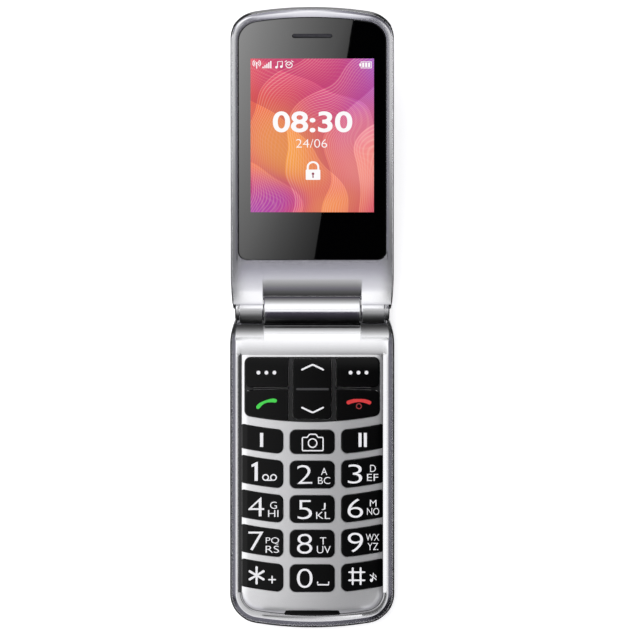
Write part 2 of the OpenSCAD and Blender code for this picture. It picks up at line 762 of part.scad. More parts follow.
barrel_end = barrel_w / 2;
module hinge_cartridge() color("slategray") in_base() on_axis() difference() {
    along_x(barrel_bore_r - shaft_fit, barrel_end - cartridge_len, barrel_end);
    along_x(cam_r + shaft_fit, barrel_end - cam_depth - cam_play, far);
}
module hinge_bush() color("goldenrod") in_base() on_axis() difference() {
    along_x(barrel_bore_r - shaft_fit, -barrel_end, -barrel_end + bush_len);
    along_x(pin_r + shaft_fit, -far, far);
}
// Coil of flat cable inside the barrel, between bush and cartridge
module hinge_flex() color("orange") in_base() on_axis() difference() {
    along_x(barrel_bore_r - flex_gap, -barrel_end + bush_len + flex_gap,
            barrel_end - cartridge_len - flex_gap);
    along_x(barrel_bore_r - flex_gap - flex_t, -far, far);
}
module hinge_cam_shaft() color("gray") in_lid()
    along_x(cam_r, barrel_end - cam_depth, knuckle_out - fit);
module hinge_pin() color("silver") in_lid() difference() {
    along_x(pin_r, -knuckle_out + fit, -barrel_end + bush_len);
    along_x(pin_bore_r, -far, far);
}
module hinge_caps() color("silver") in_lid() both_sides()
    along_x(cap_r, knuckle_out + fit, knuckle_out + cap_t);

// ---- Display half ------------------------------------------------------------------------

// Concave ramp from the lid's face up to its knuckles
module ramp_2d() difference() {
    polygon([[0, 0], [ramp_c, ramp_c], [ramp_c, lid_face - 1], [0, lid_face - 1]]);
    translate([ramp_c, ramp_c]) circle(r = ramp_r + shaft_fit);
}

module lid_front_cover() color("silver") in_lid() difference() {
    union() {
        difference() {
            intersection() {
                lid_form();
                translate([-far / 2, -far / 2, lid_split + seam]) cube([far, far, far]);
            }
            lid_hollow();
        }
        both_sides() {
            along_x(knuckle_r, knuckle_in, knuckle_out);
            intersection() {
                across(knuckle_in, far / 2) ramp_2d();
                translate([0, 0, -far / 2]) linear_extrude(far)
                    plan_2d(lid_neck_start, lid_neck_r, 0);
            }
        }
    }
    // Room for the barrel and the web
    along_x(barrel_r + hinge_gap, -knuckle_in, knuckle_in);
    across(-knuckle_in, knuckle_in) shoulder_cut_2d(1);
    // Pins and caps
    along_x(cam_r + shaft_fit, 0, knuckle_out + tiny);
    along_x(pin_r + shaft_fit, -knuckle_out - tiny, 0);
    both_sides() along_x(cap_r + fit, knuckle_out, far);
    // Window seat, display opening, earpiece opening
    translate([0, 0, window_z - fit]) linear_extrude(far) window_2d(fit * 2);
    translate([-display_w / 2 - lcd_margin - fit, display_bottom - lcd_margin - fit, window_z - ledge_t - 1])
        cube([display_w + 2 * (lcd_margin + fit), display_len + 2 * (lcd_margin + fit), far]);
    translate([-earpiece_w / 2, earpiece_y - earpiece_h / 2, window_z - ledge_t - 1])
        cube([earpiece_w, earpiece_h, far]);
    at_lid_screws() translate([0, 0, lid_back])
        cylinder(r = screw_r + shaft_fit, h = lid_t - lid_screw_roof);
}

module at_lid_screws() for (side = [-1, 1])
    translate([side * lid_screw_span / 2, lid_screw_y, 0]) children();

module lid_rear_cover() color("dimgray") in_lid() difference() {
    intersection() {
        lid_form();
        translate([-far / 2, -far / 2, -far]) cube([far, far, far + lid_split]);
    }
    lid_hollow();
    along_x(barrel_r + hinge_gap, -knuckle_in, knuckle_in);
    translate([0, camera_y, 0]) {
        translate([0, 0, lid_back - 1]) cylinder(r = camera_ring_r + fit, h = lid_back_t + 2);
        translate([flash_x, 0, lid_back - 1]) cylinder(r = flash_r + fit, h = lid_back_t + 2);
    }
    at_lid_screws() {
        translate([0, 0, lid_back - 1]) cylinder(r = screw_head_r + fit, h = 1 + screw_head_h + screw_sink);
        translate([0, 0, lid_back - 1]) cylinder(r = screw_r + shaft_fit, h = far);
    }
}

module display_window() color([0.05, 0.05, 0.07]) in_lid() difference() {
    translate([0, 0, window_z]) linear_extrude(window_t) window_2d(0);
    translate([0, 0, window_z - 1]) linear_extrude(far) earpiece_2d(0);
}
module earpiece_2d(inset) polygon(rounded(
    [for (p = [[-1, -1], [1, -1], [1, 1], [-1, 1]])
        [p[0] * (earpiece_w / 2 - inset), earpiece_y + p[1] * (earpiece_h / 2 - inset)]],
    [for (i = [0:3]) earpiece_h / 2 - inset - tiny]));

module display_panel() color("mediumpurple") in_lid()
    translate([-display_w / 2 - lcd_margin, display_bottom - lcd_margin, lcd_z])
        cube([display_w + 2 * lcd_margin, display_len + 2 * lcd_margin, lcd_t]);
module display_frame() color("gainsboro") in_lid()
    translate([-display_w / 2 - lcd_margin, display_bottom - lcd_margin, lcd_frame_z])
        cube([display_w + 2 * lcd_margin, display_len + 2 * lcd_margin, lcd_frame_t]);

module earpiece_mesh() color("darkgray") in_lid()
    translate([0, 0, window_z + mesh_z]) linear_extrude(mesh_t) earpiece_2d(fit);
module earpiece_speaker() color("silver") in_lid()
    translate([-receiver_size[0] / 2, earpiece_y - receiver_size[1] / 2,
               window_z - ledge_t - fit - receiver_size[2]]) cube(receiver_size);

module camera_module() color([0.1, 0.1, 0.1]) in_lid() translate([0, camera_y, camera_z]) {
    translate([-camera_w / 2, -camera_w / 2, lens_h])
        cube([camera_w, camera_w, camera_t - lens_h]);
    cylinder(r = camera_window_r - lens_inset, h = lens_h + tiny);
}
module camera_ring() color("silver") in_lid() translate([0, camera_y, lid_back]) difference() {
    cylinder(r = camera_ring_r, h = lid_back_t);
    translate([0, 0, -1]) cylinder(r = camera_window_r + fit, h = 1 + ring_seat);
    cylinder(r = camera_window_r - ring_seat, h = far);
}
module camera_window() color([0.1, 0.1, 0.15]) in_lid()
    translate([0, camera_y, lid_back + camera_glass_z])
        cylinder(r = camera_window_r, h = camera_glass_t);
module flash_window() color("lightyellow") in_lid()
    translate([flash_x, camera_y, lid_back + flash_sink]) cylinder(r = flash_r, h = lid_back_t);

module lid_screws() color("dimgray") in_lid() at_lid_screws() {
    translate([0, 0, lid_back + screw_sink]) cylinder(r = screw_head_r, h = screw_head_h);
    translate([0, 0, lid_back + screw_sink])
        cylinder(r = screw_r, h = lid_t - lid_screw_roof - screw_sink - screw_tip);
}

// ---- Nodes -----------------------------------------------------------------------------

base_frame();
key_panel();
key_frame();
rear_case();
battery_cover();
battery();
battery_contacts();
main_board();
shield_can();
sim_holder();
memory_card_holder();
loudspeaker();
vibration_motor();
microphone();
microphone_trim();
usb_port();
keypad_membrane();
contact_domes();
base_screws();
hinge_cartridge();
hinge_bush();
hinge_flex();
hinge_cam_shaft();
hinge_pin();
hinge_caps();
lid_front_cover();
lid_rear_cover();
display_window();
display_panel();
display_frame();
earpiece_speaker();
earpiece_mesh();
camera_module();
camera_ring();
camera_window();
flash_window();
lid_screws();
key_navigation();
for (k = KEYS) key(k);
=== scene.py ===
# %% [markdown]
# # A clamshell phone with large keys
#
# The phone lies open on its back. The half with the keys rests on the table, and the half
# with the display rises from the hinge at twenty degrees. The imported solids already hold
# every size, so this lesson does not measure anything anew. It gives the visible pieces
# the soft edges, the glyphs and the finishes that plain solids lack.
#
# Sizes are written in millimetres, as on a drawing, and turned into metres at one place.

# %% Load the solids
import math

import bmesh
import bpy
import numpy as np
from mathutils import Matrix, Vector
from mathutils.geometry import delaunay_2d_cdt


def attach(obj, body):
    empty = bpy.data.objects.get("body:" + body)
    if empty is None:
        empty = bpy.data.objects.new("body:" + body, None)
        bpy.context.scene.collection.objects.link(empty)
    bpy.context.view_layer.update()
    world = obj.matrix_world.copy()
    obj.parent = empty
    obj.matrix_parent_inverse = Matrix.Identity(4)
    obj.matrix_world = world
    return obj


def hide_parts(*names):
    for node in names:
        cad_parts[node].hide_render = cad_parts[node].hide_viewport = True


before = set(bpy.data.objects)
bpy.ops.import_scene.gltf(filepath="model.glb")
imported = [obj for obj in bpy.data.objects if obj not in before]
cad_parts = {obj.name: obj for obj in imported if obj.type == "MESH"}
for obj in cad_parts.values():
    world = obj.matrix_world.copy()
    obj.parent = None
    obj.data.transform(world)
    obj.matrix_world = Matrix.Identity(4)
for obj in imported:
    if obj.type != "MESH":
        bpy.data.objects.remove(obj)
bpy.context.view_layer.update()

# %% [markdown]
# ## Two drawing frames
#
# Both halves are drawn flat, with `y` as the distance from the hinge axis. A half could
# be turned as an object, but then every pattern on it would turn as well. So each point
# is carried to its place while the mesh is made, and the objects themselves stay at the
# origin, unturned.

# %% Drawing frames of the two halves
MM = 0.001
HINGE_Y = 51.2
AXIS_Z = 10.34
TILT = math.radians(20)


def in_base(points):
    """Keypad half: x across, y away from the hinge, z up from the table."""
    p = np.asarray(points, float)
    return np.column_stack([p[:, 0], HINGE_Y - p[:, 1], p[:, 2]]) * MM


def in_lid(points):
    """Display half: x across, y away from the hinge, z out of the display."""
    p = np.asarray(points, float)
    y = p[:, 1] * math.cos(TILT) - p[:, 2] * math.sin(TILT)
    z = p[:, 1] * math.sin(TILT) + p[:, 2] * math.cos(TILT)
    return np.column_stack([p[:, 0], y + HINGE_Y, z + AXIS_Z]) * MM


print("a point on the lid's edge:", in_lid([[0, 102.4, 0]]).round(4))

# %% [markdown]
# ## The camera
#
# The phone is seen from straight above with almost no perspective. A very long lens far
# away gives that, and it still lets other views find their own distance. The view is
# 206 mm wide and high, and its middle lies a little right of the phone's centre line and
# a little towards the key half.

# %% Camera straight above
VIEW_SIZE = 206.2
LENS = 1600
SENSOR = 36
FOCUS_Z = 20
view_centre = (2.5, 48.0)
camera_height = VIEW_SIZE / SENSOR * LENS + FOCUS_Z
camera_data = bpy.data.cameras.new("camera")
camera_data.lens = LENS
camera_data.sensor_width = SENSOR
camera_data.clip_end = 100
camera = bpy.data.objects.new("camera", camera_data)
camera.location = (view_centre[0] * MM, view_centre[1] * MM, camera_height * MM)
bpy.context.collection.objects.link(camera)
bpy.context.scene.camera = camera
bpy.context.scene.view_settings.view_transform = "Standard"
print("camera height in metres:", camera.location.z)

# %% [markdown]
# ## Node helpers for finishes
#
# A finish is a small graph of nodes round one Principled shader. Its even values are set
# on the shader's own sockets. What varies, such as a cloudy roughness or a fine grain,
# comes from noise on Object coordinates, which are metres here, so a scale of 3000 is a
# grain of a third of a millimetre.

# %% Helpers for materials
NOISE_RANGE = (0.3, 0.7)
FINE_SPECK = 900
COAT_ROUGHNESS = 0.08


def new_material(name):
    """An empty node graph with a Principled shader wired to its output."""
    mat = bpy.data.materials.new(name)
    mat.use_nodes = True
    tree = mat.node_tree
    tree.nodes.clear()
    out = tree.nodes.new("ShaderNodeOutputMaterial")
    shader = tree.nodes.new("ShaderNodeBsdfPrincipled")
    tree.links.new(shader.outputs["BSDF"], out.inputs["Surface"])
    return mat, tree, shader


def node(tree, kind, **settings):
    """Adds a node. Names that are sockets set the socket, the others set the property."""
    n = tree.nodes.new(kind)
    for key, value in settings.items():
        if key in n.inputs:
            n.inputs[key].default_value = value
        else:
            setattr(n, key, value)
    return n


def noise(tree, scale, detail=2.0):
    """Noise on Object coordinates."""
    where = tree.nodes.new("ShaderNodeTexCoord").outputs["Object"]
    tex = node(tree, "ShaderNodeTexNoise", Scale=scale, Detail=detail)
    tree.links.new(where, tex.inputs["Vector"])
    return tex.outputs["Fac"]


def mapped(tree, value, low, high, to_low=0.0, to_high=1.0):
    """A straight map of one range to another, held at its ends."""
    n = node(tree, "ShaderNodeMapRange")
    for socket, number in zip(("From Min", "From Max", "To Min", "To Max"),
                              (low, high, to_low, to_high)):
        n.inputs[socket].default_value = number
    tree.links.new(value, n.inputs["Value"])
    return n.outputs["Result"]


def spread(tree, value, low, high):
    """Maps the usual range of noise to the range low to high."""
    return mapped(tree, value, *NOISE_RANGE, low, high)


def blended(tree, factor, low, high, kind="MIX"):
    """Mixes two colours, given as tuples or sockets."""
    n = node(tree, "ShaderNodeMix", data_type="RGBA", blend_type=kind)
    for socket, value in ((n.inputs[0], factor), (n.inputs[6], low), (n.inputs[7], high)):
        if isinstance(value, tuple):
            socket.default_value = (*value, 1)
        elif isinstance(value, (int, float)):
            socket.default_value = value
        else:
            tree.links.new(value, socket)
    return n.outputs[2]


def finish(name, colour, rough, metallic=0.0, coat=0.0, specular=0.5, cloud=0.02, grain=None,
           tint=0.04):
    """A moulded, painted or metal finish. `rough` is a pair, `grain` is (scale, height)."""
    mat, tree, shader = new_material(name)
    shader.inputs["Metallic"].default_value = metallic
    shader.inputs["Coat Weight"].default_value = coat
    shader.inputs["Coat Roughness"].default_value = COAT_ROUGHNESS
    shader.inputs["Specular IOR Level"].default_value = specular
    clouds = noise(tree, 1 / cloud, 3.0)
    tree.links.new(spread(tree, clouds, *rough), shader.inputs["Roughness"])
    speck = noise(tree, grain[0] if grain else FINE_SPECK)
    shade = blended(tree, spread(tree, speck, 0, 1), tuple(c * (1 - tint) for c in colour),
                    tuple(min(1, c * (1 + tint)) for c in colour))
    tree.links.new(shade, shader.inputs["Base Color"])
    if grain:
        bump = node(tree, "ShaderNodeBump", Strength=1.0, Distance=grain[1] * MM)
        tree.links.new(speck, bump.inputs["Height"])
        tree.links.new(bump.outputs["Normal"], shader.inputs["Normal"])
    return mat


# %% [markdown]
# ## The finishes
#
# The housing is silver paint on plastic: flakes give it a metal's reflection, but it
# stays softer than chrome. The key panel is the same silver with a finer satin. Keys and
# window are moulded in black and polished. The back is a darker grey with a fine spark
# texture that hides fingerprints.

# %% Materials of the phone
SILVER = finish("silver_paint", (0.80, 0.80, 0.82), (0.16, 0.22), metallic=1.0, coat=0.1,
                cloud=0.015, grain=(5000, 0.0005), tint=0.03)
PANEL = finish("panel_satin", (0.85, 0.85, 0.86), (0.33, 0.39), metallic=0.75, cloud=0.01,
               grain=(6000, 0.0012), tint=0.05)
KEY_BLACK = finish("key_black", (0.0015, 0.0015, 0.0017), (0.10, 0.14), specular=0.2, cloud=0.006,
                   tint=0.1)
GLASS_BLACK = finish("window_black", (0.0006, 0.0006, 0.0008), (0.004, 0.006), specular=0.6,
                     cloud=0.03, tint=0.1)
BLACK = finish("black_plastic", (0.012, 0.012, 0.013), (0.38, 0.5), cloud=0.004,
               grain=(2500, 0.004), tint=0.15)
BACK = finish("back_grey", (0.10, 0.10, 0.108), (0.42, 0.52), specular=0.4, cloud=0.01,
              grain=(2200, 0.012), tint=0.12)
STEEL = finish("steel", (0.52, 0.52, 0.54), (0.24, 0.38), metallic=1.0, cloud=0.002,
               grain=(3000, 0.001), tint=0.05)
DARK_STEEL = finish("dark_steel", (0.16, 0.16, 0.17), (0.3, 0.42), metallic=1.0, cloud=0.002,
                    tint=0.1)
CHROME = finish("chrome", (0.86, 0.86, 0.88), (0.04, 0.07), metallic=1.0, cloud=0.004, tint=0.02)
GOLD = finish("gold_plate", (0.80, 0.56, 0.22), (0.18, 0.28), metallic=1.0, cloud=0.002, tint=0.06)
BOARD = finish("circuit_board", (0.01, 0.11, 0.05), (0.28, 0.4), cloud=0.003, coat=0.3,
               grain=(1500, 0.003), tint=0.2)
RUBBER = finish("silicone", (0.55, 0.55, 0.54), (0.5, 0.6), cloud=0.004, tint=0.05)
FILM = finish("orange_film", (0.55, 0.22, 0.03), (0.25, 0.35), cloud=0.003, tint=0.1)
CAN = finish("battery_foil", (0.06, 0.065, 0.075), (0.3, 0.4), cloud=0.008, tint=0.1)
PRINT = finish("white_print", (0.97, 0.97, 0.98), (0.4, 0.5), cloud=0.004, tint=0.01)
GREY_PRINT = finish("grey_print", (0.04, 0.04, 0.042), (0.35, 0.45), cloud=0.004, tint=0.05)
GREEN_PRINT = finish("green_print", (0.03, 0.75, 0.05), (0.4, 0.5), cloud=0.004, tint=0.04)
RED_PRINT = finish("red_print", (0.82, 0.012, 0.015), (0.4, 0.5), cloud=0.004, tint=0.05)
DARK_RED_PRINT = finish("dark_red_print", (0.36, 0.008, 0.012), (0.4, 0.5), cloud=0.004, tint=0.05)
LENS_GLASS = finish("camera_glass", (0.004, 0.006, 0.016), (0.01, 0.03), coat=1.0, specular=0.8,
                    cloud=0.01, tint=0.2)
FLASH = finish("flash_lens", (0.85, 0.80, 0.55), (0.1, 0.2), coat=0.5, cloud=0.001,
               grain=(1500, 0.02), tint=0.08)
print("finishes:", len(bpy.data.materials))

# %% [markdown]
# ## Shapes as points and faces
#
# Each piece is gathered as a list of points and faces first. `loft` skins a row of
# closed rings, as a boat builder planks over frames. `make` turns the result into an
# object: it merges doubled points, turns the faces outwards and keeps edges sharper than
# a chosen angle.

# %% Helpers for shapes


def loft(rings, caps=True):
    """Skins a list of closed rings with equal point counts; the end rings are capped."""
    n = len(rings[0])
    points = np.vstack([np.asarray(r, float) for r in rings])
    faces = []
    for i in range(len(rings) - 1):
        for j in range(n):
            k = (j + 1) % n
            faces.append((i * n + j, i * n + k, (i + 1) * n + k, (i + 1) * n + j))
    if caps:
        last = (len(rings) - 1) * n
        faces.append(tuple(range(n))[::-1])
        faces.append(tuple(range(last, last + n)))
    return points, faces


def join(*shapes):
    """Several shapes as one."""
    points, faces, start = [], [], 0
    for p, f in shapes:
        points.append(np.asarray(p, float))
        faces.extend(tuple(i + start for i in face) for face in f)
        start += len(p)
    return np.vstack(points), faces


HOUSING_ANGLE, PLATE_ANGLE, PRINT_ANGLE = 30, 28, 60


def settle(mesh, angle):
    """Merges doubles, turns faces outwards and marks edges sharper than the angle."""
    bm = bmesh.new()
    bm.from_mesh(mesh)
    bmesh.ops.remove_doubles(bm, verts=bm.verts, dist=2e-6)
    bmesh.ops.dissolve_degenerate(bm, edges=bm.edges, dist=1e-7)
    bmesh.ops.recalc_face_normals(bm, faces=bm.faces)
    bm.to_mesh(mesh)
    bm.free()
    mesh.shade_smooth()
    mesh.set_sharp_from_angle(angle=math.radians(angle))


def make(name, shape, place, material, angle):
    """An object from a shape, placed in its half and finished."""
    points, faces = shape
    mesh = bpy.data.meshes.new(name)
    mesh.from_pydata([tuple(p) for p in place(points)], [], faces)
    settle(mesh, angle)
    mesh.materials.append(material)
    obj = bpy.data.objects.new(name, mesh)
    bpy.context.collection.objects.link(obj)
    return obj


def evaluated_mesh(obj):
    """The mesh of an object once its text, modifier or node tree has done its work."""
    bpy.context.view_layer.update()
    graph = bpy.context.evaluated_depsgraph_get()
    return bpy.data.meshes.new_from_object(obj.evaluated_get(graph))


def arc(centre, radius, start, end, steps):
    """Points along an arc, in degrees."""
    a = np.radians(np.linspace(start, end, steps + 1))
    return np.column_stack([centre[0] + radius * np.cos(a), centre[1] + radius * np.sin(a)])


# %% [markdown]
# ## The outline of a half
#
# Both halves share one plan: straight sides, two corners of 9.6 mm and a gently crowned
# end. The same plan, drawn a little further in, gives the top of a rounded edge, so a
# rounded rim is a stack of such outlines. Each inset has the same number of points, or
# the rings could not be skinned.

# %% Outline of a half, at any inset
HALF_W = 26.5
HALF_LEN = 102.4
CORNER_R = 9.6
CROWN_R = 115.0
BASE_NECK = (11.0, 20.0)
LID_NECK = (12.0, 68.0)


def free_end(inset):
    """From the right side round the free end to the left side."""
    x = HALF_W - CORNER_R
    cy = HALF_LEN - CROWN_R
    y = cy + math.sqrt((CROWN_R - CORNER_R) ** 2 - x * x)
    a = math.degrees(math.atan2(y - cy, x))
    right = arc((x, y), CORNER_R - inset, 0, a, 14)
    crown = arc((0, cy), CROWN_R - inset, a, 180 - a, 20)
    left = arc((-x, y), CORNER_R - inset, 180 - a, 180, 14)
    return np.vstack([right, crown[1:-1], left])


def side_x(y, neck, inset=0.0):
    """Half the width at a distance from the hinge, where the sides draw in."""
    start, r = neck
    if y >= start:
        return HALF_W - inset
    return HALF_W - r + math.sqrt((r - inset) ** 2 - (start - y) ** 2)


def closed_outline(inset, hinge_end, neck):
    """A whole half: the free end, both sides and a straight edge near the hinge."""
    ys = np.linspace(neck[0], hinge_end, 8)
    left = [(-side_x(y, neck, inset), y) for y in ys]
    right = [(side_x(y, neck, inset), y) for y in ys[::-1]]
    return np.vstack([free_end(inset), left, right])


def u_line(inset, hinge_y, shift=0.0):
    """The U at an inset: up the right side, round the free end and down the left side."""
    line = free_end(inset) + np.array([0.0, shift])
    return np.vstack([[line[0][0], hinge_y], line, [line[-1][0], hinge_y]])


def level(outline, z):
    """A flat outline as a ring at a height."""
    return np.column_stack([outline, np.full(len(outline), z)])


def shoulder_edge(width):
    """Inset and drop of points down an outer edge, from the face outwards.

    The face bends quickly into a long slope, and the slope ends in an upright wall."""
    x, z, points = 0.0, 0.0, [(0.0, 0.0)]
    for radius, angles in ((0.2, (0, 10, 20, 30, 37)), (14.0, (37, 39, 41, 43)),
                           (1.2, (43, 60, 75, 90))):
        for a, b in zip(np.radians(angles[:-1]), np.radians(angles[1:])):
            x += radius * (math.sin(b) - math.sin(a))
            z += radius * (math.cos(a) - math.cos(b))
            points.append((x, z))
    return [(width * (1 - px / x), width * pz / x) for px, pz in points]


print("points in an outline:", len(free_end(0)))

# %% [markdown]
# ## Rims
#
# The rim of the key half is a U that runs up one side, round the free end and back down
# the other side. One cross-section, with its big outer rounding and its small inner one,
# is carried along that way. The panel seat lies a little further from the free end than
# from the sides, so the inner points slide towards the hinge at the end.

# %% Helper for a U-shaped rim
SEAT_FROM = 2.3


def rim(section, shift, hinge_y):
    """Carries a section of (inset, z) points round the U; deep points slide by `shift`."""
    edges = []
    for inset, z in section:
        line = u_line(inset, hinge_y, shift if inset > SEAT_FROM else 0.0)
        edges.append(level(line, z))
    stations = [np.array([edge[i] for edge in edges]) for i in range(len(edges[0]))]
    return loft(stations)


def rim_section(face, seat, bottom, depth, under, outer_w, inner_r):
    """Outer wall, rounded shoulder, flat top, eased inner edge, seat wall and inside."""
    outer = [(i, face - d) for i, d in shoulder_edge(outer_w)][::-1]
    inner = [(seat - inner_r * (1 - math.sin(t)), face - inner_r * (1 - math.cos(t)))
             for t in np.radians([0, 22, 45, 68, 90])]
    inside = [(seat, face - depth), (under, face - depth), (under, bottom)]
    return [(0, bottom)] + outer + inner + inside


# %% [markdown]
# ## The shoulders at the hinge
#
# Near the hinge each half is a solid block whose top follows a curve: on the key half it
# falls away in front of the knuckles, on the display half it climbs onto them. Such a
# block is skinned from cross-sections taken along the curve, each with a rounded outer
# edge that leans with the slope. A guard line close to each edge keeps the shading of the
# wide face even.

# %% Helper for a block that follows a curve
GUARD = 0.06


def block(curve, x_inner, neck, bottom, width, ease, side, edge=None):
    """Skins a block under a curve of (y, z) points, from x_inner out to the side.

    `ease` rounds the inner edge, as a number or a rule of y. `edge` gives the height of
    the outer strip where it differs from the curve."""
    curve = np.asarray(curve, float)
    slope = np.gradient(curve, axis=0)
    slope /= np.linalg.norm(slope, axis=1)[:, None]
    rings = []
    for (y, z), (ty, tz) in zip(curve, slope):
        ny, nz = (-tz, ty) if ty > 0 else (tz, -ty)
        outer = side_x(y, neck)
        w = width(y)
        z_edge = z if edge is None else edge(y, z)
        e = ease(y) if callable(ease) else ease
        ring = [(x_inner, y, bottom), (x_inner, y, z - e * 1.5)]
        for t in np.radians([0, 45, 90]):
            drop = e * (1 - math.sin(t))
            ring.append((x_inner + e * (1 - math.cos(t)), y - ny * drop, z - nz * drop))
        ring.append((x_inner + e + GUARD, y, z))
        if edge is not None:
            for t in (0.0, 0.25, 0.5, 0.75, 1.0):
                blend = t * t * (3 - 2 * t)
                ring.append((outer - w - 1.4 + 1.2 * t, y, z + (z_edge - z) * blend))
        else:
            ring.append((outer - w - GUARD, y, z))
        for inset, drop in shoulder_edge(w):
            ring.append((outer - inset, y - ny * drop, z_edge - nz * drop))
        ring.append((outer, y - ny * drop, bottom))
        ring = np.array(ring)
        ring[:, 0] *= side
        rings.append(ring)
    return loft(rings)


def bridge(curve, half_width, bottom):
    """A block between the knuckles, flat across."""
    rings = [np.array([(-half_width, y, bottom), (-half_width, y, z),
                       (half_width, y, z), (half_width, y, bottom)]) for y, z in curve]
    return loft(rings)


def lathe(profile, steps=64):
    """Turns a closed profile of (x, radius) points about the hinge axis."""
    rings = []
    for a in np.linspace(0, 2 * math.pi, steps, endpoint=False):
        rings.append(np.array([(x, r * math.cos(a), r * math.sin(a)) for x, r in profile]))
    rings.append(rings[0])
    return loft(rings, caps=False)


def shaft(x0, x1, radius, bore, ease):
    """Profile of a tube along the hinge axis with eased outer edges."""
    return [(x0, bore), (x0, radius - ease), (x0 + ease * 0.3, radius - ease * 0.3),
            (x0 + ease, radius), (x0 + ease + GUARD, radius), (x1 - ease - GUARD, radius),
            (x1 - ease, radius), (x1 - ease * 0.3, radius - ease * 0.3), (x1, radius - ease),
            (x1, bore)]


# %% [markdown]
# ## Flat plates with holes
#
# The key panel, the keys and the window are plates. A constrained triangulation takes the
# outline, the holes and some guide lines, and cuts the plate so that points lie where its
# surface bends. Then each point gets its height from rules: eased edges, a rolled side,
# or a shallow dish. The sides are drawn down from the boundary.

# %% Helpers for plates


def distance(points, line, closed=True):
    """Distance of each point from a line of points."""
    a = np.asarray(line, float)
    b = np.roll(a, -1, axis=0) if closed else a[1:]
    a = a if closed else a[:-1]
    best = np.full(len(points), 1e9)
    for p, q in zip(a, b):
        d = q - p
        size = float(d @ d)
        if size < 1e-12:
            continue
        t = np.clip((points - p) @ d / size, 0, 1)
        best = np.minimum(best, np.linalg.norm(points - p - t[:, None] * d, axis=1))
    return best


def inside(points, loop):
    """True for points within a closed loop, by counting crossings."""
    a = np.asarray(loop, float)
    b = np.roll(a, -1, axis=0)
    odd = np.zeros(len(points), bool)
    for p, q in zip(a, b):
        if p[1] == q[1]:
            continue
        over = (p[1] > points[:, 1]) != (q[1] > points[:, 1])
        cut = p[0] + (points[:, 1] - p[1]) * (q[0] - p[0]) / (q[1] - p[1])
        odd ^= over & (points[:, 0] < cut)
    return odd


def grown(loop, by):
    """A closed loop drawn further out (or in) by moving its points along their normals."""
    p = np.asarray(loop, float)
    area = np.sum(p[:, 0] * np.roll(p[:, 1], -1) - np.roll(p[:, 0], -1) * p[:, 1])
    turn = 1 if area > 0 else -1
    ahead = np.roll(p, -1, axis=0) - p
    back = p - np.roll(p, 1, axis=0)
    ahead /= np.maximum(np.linalg.norm(ahead, axis=1), 1e-9)[:, None]
    back /= np.maximum(np.linalg.norm(back, axis=1), 1e-9)[:, None]
    n = np.column_stack([ahead[:, 1] + back[:, 1], -ahead[:, 0] - back[:, 0]]) * turn
    n /= np.maximum(np.linalg.norm(n, axis=1), 1e-9)[:, None]
    lean = np.sum(n * np.column_stack([ahead[:, 1], -ahead[:, 0]]) * turn, axis=1)
    return p + n * (by / np.maximum(lean, 0.35))[:, None]


def eased(d, radius):
    """How far an eased edge lies below the face at a distance from the edge."""
    t = np.clip(radius - d, 0, radius)
    return radius - np.sqrt(np.maximum(radius * radius - t * t, 0))


def rolled(d, width, depth):
    """A wide roll-off: like an eased edge, but wider than deep."""
    t = np.clip(1 - d / width, 0, 1)
    return depth * (1 - np.sqrt(np.maximum(1 - t * t, 0)))


def flat_at(z):
    """The rule for a face that is level at one height."""
    return lambda p: np.full(len(p), z)


def slab(flat, tris, top, bottom, skip=None):
    """Flat triangles given a thickness. Walls stand on every border edge but the skipped."""
    n = len(flat)
    upper = np.column_stack([flat, top(flat)])
    lower = np.column_stack([flat, np.full(n, float(bottom))])
    count = {}
    for t in tris:
        for i in range(len(t)):
            e = (t[i], t[(i + 1) % len(t)])
            count[e] = count.get(e, 0) + 1
    border = [e for e in count if (e[1], e[0]) not in count]
    if skip is not None:
        border = [e for e in border if not (skip[e[0]] and skip[e[1]])]
    faces = [tuple(t) for t in tris] + [tuple(i + n for i in t[::-1]) for t in tris]
    faces += [(a, a + n, b + n, b)[::-1] for a, b in border]
    return np.vstack([upper, lower]), [tuple(int(i) for i in f) for f in faces]


def cut(outline, holes, guides):
    """Triangles of a flat shape with holes, cut along its guide lines."""
    points, edges = [], []
    for loop, closed in [(outline, True)] + [(h, True) for h in holes] + list(guides):
        start = len(points)
        points.extend(Vector((float(x), float(y))) for x, y in loop)
        edges.extend((start + i, start + i + 1) for i in range(len(loop) - 1))
        if closed:
            edges.append((start + len(loop) - 1, start))
    flat, _, tris, _, _, _ = delaunay_2d_cdt(points, edges, [], 0, 1e-4)
    flat = np.array([tuple(p) for p in flat])
    tris = np.array([t for t in tris])
    middle = flat[tris].mean(axis=1)
    keep = inside(middle, outline)
    for hole in holes:
        keep &= ~inside(middle, hole)
    tris = tris[keep]
    used = np.unique(tris)
    index = -np.ones(len(flat), int)
    index[used] = np.arange(len(used))
    return flat[used], index[tris]


def plate(outline, holes, guides, top, bottom, open_side=False):
    """A plate with holes. `top` gives the height of each point, `bottom` is flat.

    With open_side the outer wall is left out, where a loft already makes it."""
    flat, tris = cut(outline, holes, guides)
    skip = distance(flat, outline) < 1e-3 if open_side else None
    return slab(flat, tris, top, bottom, skip)


# %% [markdown]
# ## The frame of the key half
#
# One moulding carries the rim, the shoulders and the barrel of the hinge. It is built
# from the helpers above: the U, a block on each side of the barrel, a lowered web in the
# middle and the barrel itself. The parts share their faces exactly, so they read as one
# moulding, which they are.

# %% Frame of the key half
BASE_FACE = 10.09
SPLIT = 4.62
RAMP = 10.5018
BARREL_R = 4.35
KNUCKLE_R = 4.1
BARREL_HALF = 15.6
KNUCKLE_IN = 15.85
KNUCKLE_OUT = 23.45
BASE_BLOCK_Y = 14.34
BASE_SHIFT = -0.35
BASE_BOTTOM = SPLIT + 0.05


def moved(shape, z):
    """A shape lifted by z."""
    points, faces = shape
    return np.asarray(points, float) + np.array([0, 0, z]), faces


